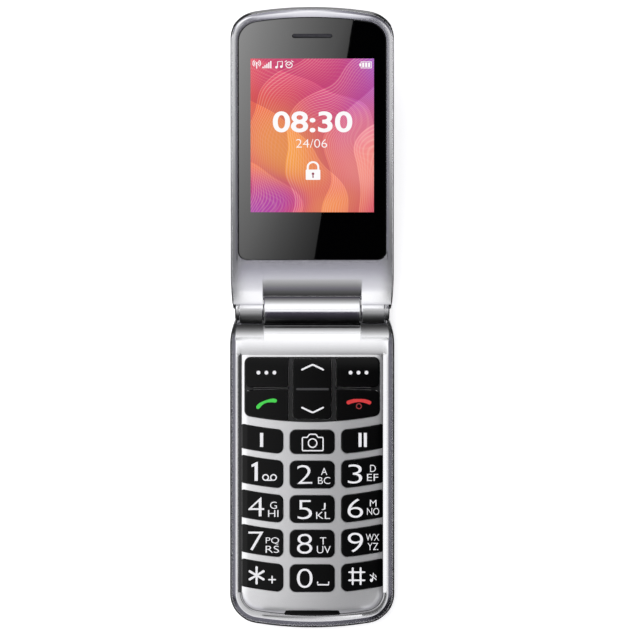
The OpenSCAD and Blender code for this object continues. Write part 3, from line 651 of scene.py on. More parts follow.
CREST_Y = 9.8
BASE_SEAT = 3.65
SLOPE_DROP = 0.36


def brow(y):
    """Height of the face between the hinge and the keys, sloping down to the panel."""
    t = max(0.0, (y - CREST_Y) / (BASE_BLOCK_Y - CREST_Y))
    return BASE_FACE - SLOPE_DROP * t * t


fall = arc((RAMP, AXIS_Z - RAMP), RAMP - 0.25, 94, 134, 12)
room = arc((0, AXIS_Z), KNUCKLE_R + 0.35, -50, -89, 6)
brow_line = [(y, brow(y)) for y in np.linspace(BASE_BLOCK_Y, CREST_Y, 9)]
shoulder = np.vstack([brow_line, fall, room])
WEB_Y, WEB_END, WEB_LEAN = 8.0, 5.25, 27.0
web = [(y, brow(y)) for y in np.linspace(BASE_BLOCK_Y, WEB_Y, 13)[:-1]]
web_r = (WEB_Y - WEB_END) / math.sin(math.radians(WEB_LEAN))
web += [tuple(q) for q in arc((WEB_Y, BASE_FACE - web_r), web_r, 90, 90 + WEB_LEAN, 12)]
web += [(5.1, web[-1][1] - 0.16), (4.9, web[-1][1] - 0.6), (4.7, web[-1][1] - 1.5),
        (4.4, web[-1][1] - 3.2), (2.0, web[-1][1] - 3.4)]


def outer_strip(y, z):
    """The outer strip keeps the height of the rim until the crest."""
    return BASE_FACE if y > CREST_Y else z


def shoulder_width(y):
    """The width of the side's outer slope, shrinking towards the hinge."""
    return float(np.interp(y, [0, 3, 10.5], [0.6, 1.0, 1.97]))


base_parts = [
    rim(rim_section(BASE_FACE, BASE_SEAT, BASE_BOTTOM, depth=1.4, under=1.5, outer_w=1.97,
                    inner_r=0.95), BASE_SHIFT, BASE_BLOCK_Y),
    *[block(shoulder, BARREL_HALF, BASE_NECK, BASE_BOTTOM, shoulder_width, ease=0.05, side=side,
            edge=outer_strip) for side in (1, -1)],
    bridge(web, BARREL_HALF, BASE_BOTTOM),
    moved(lathe(shaft(-BARREL_HALF, BARREL_HALF, BARREL_R, bore=3.0, ease=0.3)),
          AXIS_Z)]
base_frame = make("frame_of_key_half", join(*base_parts), in_base, SILVER, HOUSING_ANGLE)
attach(base_frame, "base")
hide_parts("base_frame")
print("frame of the key half:", len(base_frame.data.polygons), "faces")

# %% [markdown]
# ## The back of the key half
#
# The lower shell is a band with generous rounding underneath. The battery cover takes
# most of the back, and the strip near the hinge carries the slots of the loudspeaker.
# `carried` takes a closed section round a closed outline, which makes the band. At the
# free end a box is cut out of both mouldings, for the charging socket.

# %% Back of the key half


def carried(section, neck, hinge_y):
    """Carries a closed section of (inset, z) points round a closed outline."""
    edges = [level(closed_outline(i, hinge_y + i, neck), z) for i, z in section]
    stations = [np.array([edge[k] for edge in edges]) for k in range(len(edges[0]))]
    return loft(stations + [stations[0]], caps=False)


def underside(radius, low, high, back):
    """Points of the rounded lower edge between two heights above the back."""
    result = []
    for h in np.linspace(math.sqrt(high), math.sqrt(low), 9) ** 2:
        h = min(max(h, 0.0), radius)
        result.append((radius - math.sqrt(radius ** 2 - (radius - h) ** 2), back + h))
    return result


def strip_outline(inset, y_low, y_high, neck):
    """Outline of a strip across the half, between two distances from the hinge."""
    ys = np.linspace(y_low, y_high, 12)
    right = [(side_x(y, neck, inset), y) for y in ys]
    left = [(-x, y) for x, y in right[::-1]]
    return np.array(right + left)


BACK_R = 3.6
COVER_Y = 26.0
STRIP_TOP = 1.96
band_section = [(1.5, 1.16), (1.5, SPLIT - 0.05), (0, SPLIT - 0.05)] + \
    underside(BACK_R, 1.16, BACK_R, 0)
strip_rings = [level(strip_outline(BACK_R, BACK_R, COVER_Y, BASE_NECK), STRIP_TOP)]
for inset, z in underside(BACK_R, 0, 1.3, 0):
    strip_rings.append(level(strip_outline(inset, inset, COVER_Y, BASE_NECK), z))
slots = []
for i in range(-2, 3):
    x = -10.0 + 2.2 * i
    slots.append(np.vstack([arc((x, 21.0), 0.5, 0, 180, 6), arc((x, 17.0), 0.5, 180, 360, 6)]))
strip = plate(strip_rings[-1][:, :2], slots, [], flat_at(STRIP_TOP), 0.0, open_side=True)
rear_case = make("back_of_key_half", join(carried(band_section, BASE_NECK, 0.0),
                                          loft(strip_rings, caps=False), strip),
                 in_base, BACK, HOUSING_ANGLE)
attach(rear_case, "base")
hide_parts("rear_case")


BOX_FACES = [(0, 1, 3, 2), (4, 6, 7, 5), (0, 4, 5, 1), (2, 3, 7, 6), (0, 2, 6, 4), (1, 5, 7, 3)]


def opened(piece, low, high):
    """Cuts a box, from its low corner to its high one in the key half, out of a piece."""
    corners = in_base([[x, y, z] for x in (low[0], high[0]) for y in (low[1], high[1])
                       for z in (low[2], high[2])])
    mesh = bpy.data.meshes.new("opening")
    mesh.from_pydata([tuple(c) for c in corners], [], BOX_FACES)
    settle(mesh, HOUSING_ANGLE)
    cutter = bpy.data.objects.new("opening", mesh)
    bpy.context.collection.objects.link(cutter)
    cut_out = piece.modifiers.new("opening", "BOOLEAN")
    cut_out.operation = "DIFFERENCE"
    cut_out.solver = "EXACT"
    cut_out.use_self = True
    cut_out.object = cutter
    piece.data = evaluated_mesh(piece)
    piece.modifiers.clear()
    bpy.data.objects.remove(cutter)


SOCKET_LOW, SOCKET_HIGH = (-3.81, 97.0, 2.41), (3.81, 104.0, 5.07)
for piece in (base_frame, rear_case):
    opened(piece, SOCKET_LOW, SOCKET_HIGH)
    print("opened:", piece.name, len(piece.data.polygons), "faces")


def cover_outline(inset, hinge_y):
    """The free end and the sides down to the cover's straight edge."""
    line = free_end(inset)
    return np.vstack([line, [(line[-1][0], hinge_y)], [(line[0][0], hinge_y)]])


cover_rings = [level(cover_outline(1.6, COVER_Y + 0.4), 1.1),
               level(cover_outline(1.12, COVER_Y + 0.15), 1.1)]
for inset, z in underside(BACK_R, 0, 1.1, 0):
    cover_rings.append(level(cover_outline(inset, COVER_Y + 0.1 + 0.1 * (z < 0.05)), z))
battery_cover = make("battery_cover_shell", loft(cover_rings), in_base, BACK, HOUSING_ANGLE)
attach(battery_cover, "base")
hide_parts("battery_cover")
print("back:", len(rear_case.data.polygons), "cover:", len(battery_cover.data.polygons))

# %% [markdown]
# ## The cover of the display half
#
# The front cover has the same U, a little thinner. Near the hinge it climbs onto two
# knuckles, and between them a convex notch makes room for the barrel. The knuckles are
# turned, so they stay round at any distance.

# %% Front cover of the display half
LID_FACE = -0.25
LID_SPLIT = -4.295
LID_SHIFT = 0.28
LID_BOTTOM = LID_SPLIT + 0.05
KNUCKLE_Y = 3.0
FACE_LEAN = 6.8
KNUCKLE_LEAN = 45.0
WINDOW_Y = 17.0
WINDOW_SEAT = 2.6
NOTCH_Y = 10.2
DRAFT = 0.18
DIP = 0.5
NARROWER = 0.22


def climbing(y_end, steps=26):
    """The face between window and knuckles: a slope that grows from 0 to 45 degrees."""
    points = [(WINDOW_Y, LID_FACE)]
    for y in np.linspace(WINDOW_Y, y_end, steps)[1:]:
        last_y, last_z = points[-1]
        middle = (last_y + y) / 2
        if middle > NOTCH_Y:
            slope = FACE_LEAN * (WINDOW_Y - middle) / (WINDOW_Y - NOTCH_Y)
        else:
            slope = FACE_LEAN + (KNUCKLE_LEAN - FACE_LEAN) * (
                (NOTCH_Y - middle) / (NOTCH_Y - KNUCKLE_Y)) ** 1.9
        points.append((y, last_z + (last_y - y) * math.tan(math.radians(slope))))
    return points


def descending(start, slopes):
    """Points from a start towards the hinge, through (distance, slope in degrees) stops."""
    points = [start]
    stops = sorted(slopes)
    for y in np.linspace(start[0], stops[0][0], 25)[1:]:
        last_y, last_z = points[-1]
        slope = np.interp((last_y + y) / 2, *zip(*stops))
        points.append((y, last_z + (last_y - y) * math.tan(math.radians(slope))))
    return points


ramp = climbing(KNUCKLE_Y)
print("knuckle meets the face at", np.round(ramp[-1], 2))
ramp = np.vstack([ramp, [2.0, 2.0], [0.6, 0.6]])
brow_z = climbing(10.6, 12)
notch = np.vstack([brow_z, descending(brow_z[-1], [(10.6, 6.4), (9.0, -2.5), (4.5, -30)])[1:],
                   arc((0, 0), BARREL_R + 0.35, -19, -63, 9)])


def ramp_width(y):
    """The width of the side's outer slope, shrinking towards the knuckles."""
    return float(np.interp(y, [0, 3, 12], [0.5, 0.6, 0.7]))


def ramp_ease(y):
    """The rounding of the knuckle side's inner edge, which dies out on the face."""
    return float(np.interp(y, [9.6, 10.6], [0.15, 0.01]))


lid_parts = [
    rim(rim_section(LID_FACE, WINDOW_SEAT, LID_BOTTOM, depth=1.41, under=1.5, outer_w=0.7,
                    inner_r=0.12), LID_SHIFT, WINDOW_Y),
    bridge(notch, KNUCKLE_IN, LID_BOTTOM)]
FILL_X, FILL_Y, FILL_R = 20.9, 20.12, 3.12
FILL_OUT, FILL_LOW, FILL_BOTTOM = 24.4, 16.6, -1.66
for side in (-1, 1):
    lid_parts.append(block(ramp, KNUCKLE_IN, LID_NECK, LID_BOTTOM, ramp_width, ramp_ease, side))
    ends = sorted((side * KNUCKLE_IN, side * KNUCKLE_OUT))
    lid_parts.append(lathe(shaft(ends[0], ends[1], KNUCKLE_R, bore=2.0, ease=0.3)))
    start, end = (0, -90) if side > 0 else (180, 270)
    fill = np.vstack([arc((side * FILL_X, FILL_Y), FILL_R, start, end, 10),
                      [(side * FILL_X, FILL_LOW), (side * FILL_OUT, FILL_LOW),
                       (side * FILL_OUT, FILL_Y)]])
    lid_parts.append(plate(fill, [], [], flat_at(LID_FACE), FILL_BOTTOM))


def smooth(t):
    """A soft step from 0 to 1."""
    t = np.clip(t, 0, 1)
    return t * t * (3 - 2 * t)


def drafted(points):
    """At the free end the lid's covers lean inwards, and their face dips at the edge."""
    p = np.array(points, float)
    p[:, 0] -= np.sign(p[:, 0]) * NARROWER * smooth((np.abs(p[:, 0]) - 25.2) / 0.9)
    p[:, 2] -= np.where(p[:, 2] > -2, DIP * smooth((p[:, 1] - 99.9) / 2), 0)
    p[:, 1] -= DRAFT * np.maximum(0, -2 - p[:, 2]) * smooth((p[:, 1] - 89) / 12)
    return in_lid(p)


lid_front = make("front_of_display_half", join(*lid_parts), drafted, SILVER, HOUSING_ANGLE)
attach(lid_front, "lid")
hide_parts("lid_front_cover")
print("front cover:", len(lid_front.data.polygons), "faces")

# %% [markdown]
# ## The back of the display half
#
# The rear cover is a shallow tray. Its floor has round holes for the camera, the flash
# and two screws, so it is a plate, and a loft makes the rounded wall round it.

# %% Back of the display half
LID_BACK = -8.44
CAMERA_Y = 82.0
FLASH_X = 10.5
SCREW = (18.0, 12.8)


def circle(centre, radius, steps=40):
    """A closed circle of points."""
    return arc(centre, radius, 0, 360, steps)[:-1]


tray_back = underside(BACK_R, 0, BACK_R, LID_BACK)
tray_section = [(BACK_R, LID_BACK + 1.2), (2.2, LID_BACK + 2.2), (1.5, LID_SPLIT - 2),
                (1.5, LID_SPLIT - 0.05), (0, LID_SPLIT - 0.05)] + tray_back
tray_rings = [level(closed_outline(i, 1.9 + i, LID_NECK), z) for i, z in tray_section]
holes = [circle((0, CAMERA_Y), 5.46), circle((FLASH_X, CAMERA_Y), 1.86, 24),
         circle((SCREW[0], SCREW[1]), 1.46, 24), circle((-SCREW[0], SCREW[1]), 1.46, 24)]
tray_floor = plate(tray_rings[-1][:, :2], holes, [], flat_at(LID_BACK + 1.2), LID_BACK,
                   open_side=True)
lid_rear = make("back_of_display_half", join(loft(tray_rings, caps=False), tray_floor), drafted,
                BACK, HOUSING_ANGLE)
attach(lid_rear, "lid")
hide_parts("lid_rear_cover")
print("rear cover:", len(lid_rear.data.polygons), "faces")

# %% [markdown]
# ## Small turned pieces
#
# Knuckle caps, camera ring, camera window and flash lens are all turned. A lathe about
# any axis is the same loft, laid on another pair of axes.

# %% Turned pieces


def turned(profile, centre, steps=64):
    """Turns a closed profile of (radius, z) points about an upright axis in a half."""
    rings = []
    for a in np.linspace(0, 2 * math.pi, steps, endpoint=False):
        rings.append(np.array([(centre[0] + max(r, 1e-5) * math.cos(a),
                                centre[1] + max(r, 1e-5) * math.sin(a), z) for r, z in profile]))
    rings.append(rings[0])
    return loft(rings, caps=False)


def over_back(*points):
    """A profile of (radius, z) from heights over the back of the display half."""
    return [(r, LID_BACK + z) for r, z in points]


def cap_profile(side):
    """A shallow dome on the outer end of a knuckle, with a groove round it."""
    x0, x1 = KNUCKLE_OUT + 0.06, KNUCKLE_OUT + 1.5
    points = [(x0, 1e-5), (x0, 3.4), (x1 - 0.7, 3.4), (x1 - 0.35, 3.28), (x1 - 0.12, 2.98),
              (x1 - 0.04, 2.5), (x1, 1.2), (x1, 1e-5)]
    return [(side * x, r) for x, r in points]


caps = make("knuckle_caps", join(lathe(cap_profile(-1), 48), lathe(cap_profile(1), 48)),
            in_lid, SILVER, HOUSING_ANGLE)
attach(caps, "lid")
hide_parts("hinge_caps")

ring_profile = over_back((3.4, 1.2), (3.4, 0.85), (4.26, 0.8), (4.26, 0.35), (4.4, 0.12),
                         (4.62, 0), (5.1, 0), (5.3, 0.1), (5.4, 0.3), (5.4, 1.2))
ring = make("camera_ring_polished", turned(ring_profile, (0, CAMERA_Y)), in_lid, CHROME, HOUSING_ANGLE)
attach(ring, "lid")
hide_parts("camera_ring")

glass_profile = over_back((1e-5, 0.75), (1e-5, 0.1), (3.95, 0.1), (4.12, 0.15), (4.2, 0.27),
                          (4.2, 0.75))
glass = make("camera_glass_disc", turned(glass_profile, (0, CAMERA_Y)), in_lid, LENS_GLASS, HOUSING_ANGLE)
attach(glass, "lid")
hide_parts("camera_window")

flash_profile = over_back((1e-5, 1.2), (1e-5, 0.16), (0.9, 0.12), (1.5, 0.05), (1.72, 0.1),
                          (1.8, 0.25), (1.8, 1.2))
flash = make("flash_lens_disc", turned(flash_profile, (FLASH_X, CAMERA_Y), 40), in_lid, FLASH,
             HOUSING_ANGLE)
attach(flash, "lid")
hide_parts("flash_window")
print("turned pieces:", [o.name for o in (caps, ring, glass, flash)])

# %% [markdown]
# ## Outlines of the keys
#
# The middle keys are rounded rectangles. The side keys lean upwards along one large
# circle, the smile of the keypad, and reach the panel's edge with a small corner radius.
# A key is a name, a side, its inner and outer distance from the centre line, its top and
# bottom distance from the hinge, and its two corner radii.

# %% Outlines of the keys
SMILE_R = 110.0
KEY_GAP = 0.15
PANEL_HALF = 22.75
PANEL_Y = 14.4
DIGITS = [["key_1", "key_2", "key_3"], ["key_4", "key_5", "key_6"],
          ["key_7", "key_8", "key_9"], ["key_star", "key_0", "key_hash"]]
CLUSTER_X, CLUSTER_TOP, CLUSTER_LOW = 21.7, 15.3, 36.0
SOFT_X, SOFT_LOW = 7.7, 24.85
CALL_TOP = 25.4
CALL_FALL = 0.55


def column_key(name, side, top, height):
    """A key in one of the three columns."""
    if side == 0:
        return (name, 0, 0.0, 7.15, top, top + height, 1.85, 1.85)
    return (name, side, 9.45, PANEL_HALF, top, top + height, 1.85, 0.6)


KEYS = [column_key(DIGITS[r][c], c - 1, 48.7 + 11.14 * r, 8.7) for r in range(4) for c in range(3)]
KEYS += [column_key("key_memory_1", -1, 38.7, 7.6), column_key("key_camera", 0, 38.7, 7.6),
         column_key("key_memory_2", 1, 38.7, 7.6)]
KEYS += [(name, side, SOFT_X, CLUSTER_X, top, low, 0.6, 1.85) for name, side, top, low in (
    ("key_soft_left", -1, CLUSTER_TOP, SOFT_LOW), ("key_soft_right", 1, CLUSTER_TOP, SOFT_LOW),
    ("key_call", -1, CALL_TOP, CLUSTER_LOW), ("key_end", 1, CALL_TOP, CLUSTER_LOW))]
NAV_KEY = ("key_navigation", 0, 0.0, 6.2, 15.6, 35.1, 1.35, 1.35)


def corner(p, a, b, r, steps=7):
    """One corner of a polygon rounded to a radius."""
    p, a, b = (np.asarray(v, float) for v in (p, a, b))
    u = (a - p) / np.linalg.norm(a - p)
    v = (b - p) / np.linalg.norm(b - p)
    half = math.acos(float(np.clip(u @ v, -1, 1))) / 2
    centre = p + (u + v) / np.linalg.norm(u + v) * r / math.sin(half)
    s = p + u * r / math.tan(half) - centre
    e = p + v * r / math.tan(half) - centre
    start = math.degrees(math.atan2(s[1], s[0]))
    turn = (math.degrees(math.atan2(e[1], e[0])) - start + 540) % 360 - 180
    return arc(centre, r, start, start + turn, steps)


def with_corners(ring, radii, steps=7):
    """A polygon whose numbered corners are rounded, each to its own radius."""
    n = len(ring)
    return np.vstack([corner(ring[i], ring[i - 1], ring[(i + 1) % n], radii[i], steps)
                      if i in radii else np.array([ring[i]]) for i in range(n)])


def smile(x, inner):
    """Rise of the side columns at a distance from the centre line."""
    return (x * x - inner * inner) / (2 * SMILE_R)


def key_outline(key, g=0.0):
    """The closed outline of a key, grown by g. y grows towards the free end."""
    _, side, x0, x1, top, bottom, r0, r1 = key
    r0, r1 = max(r0 + g, 0.02), max(r1 + g, 0.02)
    if side == 0:
        box = [(-x1 - g, bottom + g), (x1 + g, bottom + g), (x1 + g, top - g), (-x1 - g, top - g)]
        return with_corners(box, dict.fromkeys(range(4), r0))
    xs = np.linspace(x0 - g, x1 + g, 9)
    start = 0.0 if x0 < 9 else x0
    low = [(side * x, bottom + g - (smile(x, start) if bottom > CALL_TOP else 0)) for x in xs]
    high = [(side * x, top - g - (smile(x, start) if top > CALL_TOP else 0)) for x in xs[::-1]]
    if top == CALL_TOP:
        high = [(x, y + CALL_FALL * (abs(x) - x0) / (x1 - x0)) for x, y in high]
    n = len(low)
    return with_corners(low + high, {0: r0, n - 1: r1, n: r1, 2 * n - 1: r0})


def cluster_outline(g):
    """The opening round the navigation cluster."""
    x, top, bottom = CLUSTER_X + g, CLUSTER_TOP - g, CLUSTER_LOW + g
    low = [(u, bottom - smile(u, 0)) for u in np.linspace(-x, x, 21)]
    return with_corners(low + [(x, top), (-x, top)], dict.fromkeys((0, 20, 21, 22), 1.85 + g))


print("keys:", len(KEYS) + 1)

# %% [markdown]
# ## The key panel
#
# The silver panel is flat between the keys and rolls down over its outer two
# millimetres, at both sides and at the free end. Guide lines parallel to its edge give the
# roll its facets, and a narrow guide round every opening gives the openings a soft lip.

# %% Key panel
PANEL_Z = 9.69
DECK_Z = 8.69
ROLL_W = 2.2
ROLL_DEPTH = 0.72


def panel_edge(inset):
    """The two sides and the free end of the key panel, as an open line."""
    return u_line(BASE_SEAT + 0.1 + inset, PANEL_Y, BASE_SHIFT)


def mic_notch():
    """The microphone's slot at the free end."""
    end = 98.45
    half = [(8.3, end - 1.6), (8.55, end - 1.45), (9.4, end), (9.4, end + 2)]
    return np.array([(-x, y) for x, y in half[::-1]] + half)


openings = [key_outline(k, KEY_GAP) for k in KEYS if k[4] > CLUSTER_LOW]
openings.append(cluster_outline(KEY_GAP))
openings.append(mic_notch())
guides = [(grown(loop, d), True) for loop in openings[:-1] for d in (0.04, 0.12, 0.16)]
guides += [(panel_edge(i), False) for i in (0.06, 0.2, 0.42, 0.72, 1.1, 1.6, ROLL_W, ROLL_W + 0.06)]


def panel_top(p):
    """Height of the panel: flat, rolled at the sides, soft at the openings."""
    z = PANEL_Z - rolled(distance(p, panel_edge(0), closed=False), ROLL_W, ROLL_DEPTH)
    near = np.full(len(p), 1e9)
    for loop in openings[:-1]:
        near = np.minimum(near, distance(p, loop))
    return z - eased(near, 0.12)


key_panel = make("key_panel_satin", plate(panel_edge(0), openings, guides, panel_top, DECK_Z),
                 in_base, PANEL, PLATE_ANGLE)
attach(key_panel, "base")
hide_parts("key_panel")
print("key panel:", len(key_panel.data.polygons), "faces")

# %% [markdown]
# ## The keys
#
# A key is a plate as well. Its edge is eased by a third of a millimetre, and a side key
# rolls down with the panel, so that a thumb slides off it. Each key moves by itself, so
# each is its own piece on its own body.

# %% Keys
KEY_Z = 7.89
KEY_TOP = 10.19
KEY_EASE = 0.32
PEG_LOW = 6.93
NAV_MIDDLE, NAV_PEG = 25.35, 6.5


def rolls(key):
    """True for a key that reaches the panel's edge."""
    return key[3] > CLUSTER_X


def key_top(key):
    """The rule for the height of one key's face."""
    outline = key_outline(key)

    def rule(p):
        z = KEY_TOP - eased(distance(p, outline), KEY_EASE)
        if rolls(key):
            z = z - rolled(PANEL_HALF - np.abs(p[:, 0]), ROLL_W, ROLL_DEPTH)
        return z
    return rule


def plunger(x, y):
    """The peg under a key that reaches its switch."""
    return turned([(1e-5, PEG_LOW), (1.05, PEG_LOW), (1.2, 7.08), (1.2, KEY_Z + 0.01),
                   (1e-5, KEY_Z + 0.01)], (x, y), 24)


key_objects = {}
for key in KEYS + [NAV_KEY]:
    lines = [(key_outline(key, -d), True) for d in (0.03, 0.1, 0.2, KEY_EASE, KEY_EASE + 0.05)]
    if rolls(key):
        for d in (0.08, 0.25, 0.5, 0.8, 1.2, ROLL_W, ROLL_W + 0.06):
            x = key[1] * (PANEL_HALF - d)
            lines.append((np.array([(x, key[4] - 4), (x, key[5] + 2)]), False))
    cap = plate(key_outline(key), [], lines, key_top(key), KEY_Z)
    if key is NAV_KEY:
        pegs = [plunger(0, NAV_MIDDLE - NAV_PEG), plunger(0, NAV_MIDDLE + NAV_PEG)]
    else:
        x = key[1] * (key[2] + key[3]) / 2
        drop = 0 if key[1] == 0 else smile(x, key[2]) / 2
        pegs = [plunger(x, (key[4] + key[5]) / 2 - drop)]
    piece = make(key[0] + "_cap", join(cap, *pegs), in_base, KEY_BLACK, PLATE_ANGLE)
    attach(piece, key[0])
    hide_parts(key[0])
    key_objects[key[0]] = piece
print("keys made:", len(key_objects))

# %% [markdown]
# ## The display's window
#
# One black glossy sheet fills the display half inside its rim. The earpiece is a narrow
# slot through it, and its edges are ground by a tenth of a millimetre or a little more.

# %% Display window
WINDOW_Z = -0.40
WINDOW_LOW = -1.60
WINDOW_HALF = 23.78


def window_outline(inset=0.0):
    """The window's closed outline: the rim's curve, straight sides, two low corners."""
    line = free_end(WINDOW_SEAT + 0.12 + inset) + np.array([0.0, LID_SHIFT])
    x, y, r = WINDOW_HALF - inset, WINDOW_Y + inset, 3.0 - inset
    low = np.vstack([arc((-x + r, y + r), r, 180, 270, 8), arc((x - r, y + r), r, -90, 0, 8)])
    line = line[line[:, 1] > y + r + 2]
    line[0][0], line[-1][0] = x, -x
    return np.vstack([line, low])


EARPIECE_Y = 93.6
earpiece = np.vstack([arc((5.75, EARPIECE_Y), 0.65, -90, 90, 8),
                      arc((-5.75, EARPIECE_Y), 0.65, 90, 270, 8)])
window_guides = [(window_outline(d), True) for d in (0.05, 0.15, 0.2)]
window_guides += [(grown(earpiece, d), True) for d in (0.1, 0.15)]
window_edge = window_outline()


def window_top(p):
    """Flat, with a ground edge outside and round the earpiece."""
    return WINDOW_Z - eased(distance(p, window_edge), 0.15) - eased(distance(p, earpiece), 0.1)


window = make("display_window_glossy", plate(window_edge, [earpiece], window_guides, window_top,
                                             WINDOW_LOW), in_lid, GLASS_BLACK, PLATE_ANGLE)
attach(window, "lid")
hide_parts("display_window")
print("window:", len(window.data.polygons), "faces")

# %% [markdown]
# ## Letters and signs
#
# The signs on the keys are printed, so each is a film a few hundredths of a millimetre
# thick. Digits and letters come from Blender's own typeface: the text is turned into a
# mesh and fitted to its box. Signs with no letter, such as the handset, are drawn as
# strokes with round ends. A print belongs to its key and moves with it.

# %% Helpers for printed signs


def glyphs(text, box, weight):
    """Text as flat triangles, fitted to a box of (x0, x1, near, far) in a half."""
    curve = bpy.data.curves.new("glyphs", "FONT")
    curve.body = text
    curve.resolution_u = 6
    curve.offset = weight
    carrier = bpy.data.objects.new("glyphs", curve)
    bpy.context.collection.objects.link(carrier)
    mesh = evaluated_mesh(carrier)
    flat = np.array([v.co[:2] for v in mesh.vertices], float)
    tris = [tuple(p.vertices) for p in mesh.polygons]
    bpy.data.objects.remove(carrier)
    bpy.data.curves.remove(curve)
    bpy.data.meshes.remove(mesh)
    low, high = flat.min(axis=0), flat.max(axis=0)
    x0, x1, near, far = box
    flat = (flat - low) / (high - low)
    return np.column_stack([x0 + flat[:, 0] * (x1 - x0), far + flat[:, 1] * (near - far)]), tris


def stroke(points, width):
    """The outline of a stroke along points, with round ends. `width` may vary along it."""
    p = np.asarray(points, float)
    r = np.broadcast_to(np.asarray(width, float) / 2, len(p))
    way = np.gradient(p, axis=0)
    way /= np.linalg.norm(way, axis=1)[:, None]
    side = np.column_stack([-way[:, 1], way[:, 0]])
    start = math.degrees(math.atan2(side[0][1], side[0][0]))
    end = math.degrees(math.atan2(-side[-1][1], -side[-1][0]))
    head = arc(p[0], r[0], start, start + 180, 6)
    tail = arc(p[-1], r[-1], end, end + 180, 6)
    right = p - side * r[:, None]
    left = p + side * r[:, None]
    return np.vstack([head, right[1:-1], tail, left[1:-1][::-1]])


def bent(points, radius):
    """A polyline whose inner corners are rounded."""
    p = [np.asarray(q, float) for q in points]
    line = [p[0][None]]
    for i in range(1, len(p) - 1):
        line.append(corner(p[i], p[i - 1], p[i + 1], radius, 4))
    line.append(p[-1][None])
    return np.vstack(line)


def printed(shapes, surface, lift=0.02, sink=0.02):
    """Films for a list of outlines, (outline, holes) pairs or flat triangles."""
    films = []
    for number, shape in enumerate(shapes):
        if isinstance(shape, tuple) and isinstance(shape[1], list) and shape[1] and \
                isinstance(shape[1][0], tuple):
            flat, tris = shape
        else:
            outline, gaps = shape if isinstance(shape, tuple) else (shape, [])
            flat, tris = cut(outline, gaps, [])
        rise = lift + 0.002 * number
        films.append(slab(flat, tris, lambda p: surface(p) + rise,
                          float(surface(flat).min()) - sink - 0.001 * number))
    return join(*films)


# %% [markdown]
# ## What is printed on the keys
#
# Large digits stand at the left of each key and the letters of a classic phone stand in
# two small rows beside them. All places are measured from the centre line and from the
# hinge axis.

# %% Prints on the keys
PEN = 0.40
TEXT = {
    "key_2": [("2", -4.95, 0.0, 50.0, 56.15), ("A", 2.84, 4.85, 50.9, 53.15),
              ("BC", 1.87, 5.8, 53.85, 56.1)],
    "key_3": [("3", 11.5, 16.1, 49.8, 55.95), ("D", 18.66, 20.5, 49.94, 52.2),
              ("EF", 17.66, 21.3, 52.84, 55.1)],
    "key_4": [("4", -20.7, -15.5, 60.4, 66.53), ("G", -13.6, -11.4, 61.8, 64.1),
              ("HI", -14.24, -10.9, 64.5, 66.7)],
    "key_5": [("5", -4.74, -0.1, 61.3, 67.44), ("J", 3.0, 4.3, 62.2, 64.45),
              ("KL", 1.25, 5.75, 65.1, 67.35)],
    "key_6": [("6", 11.4, 16.4, 60.8, 67.0), ("M", 18.6, 20.7, 61.2, 63.3),
              ("NO", 17.66, 21.6, 63.8, 66.05)],
    "key_7": [("7", -20.6, -15.7, 71.45, 77.52), ("PQ", -15.0, -10.7, 73.3, 75.6),
              ("RS", -15.05, -10.7, 76.0, 78.3)],
    "key_8": [("8", -4.95, 0.0, 72.17, 78.6), ("T", 2.5, 4.5, 73.3, 75.6),
              ("UV", 1.5, 5.95, 76.1, 78.45)],
    "key_9": [("9", 11.45, 16.4, 71.8, 78.1), ("WX", 17.3, 21.6, 72.2, 74.4),
              ("YZ", 17.8, 21.3, 75.1, 77.35)],
    "key_0": [("0", -4.95, 0.1, 83.4, 89.6)],
}


def ring_shape(centre, radius, pen=PEN):
    """A drawn circle."""
    return circle(centre, radius + pen / 2, 28), [circle(centre, radius - pen / 2, 28)]


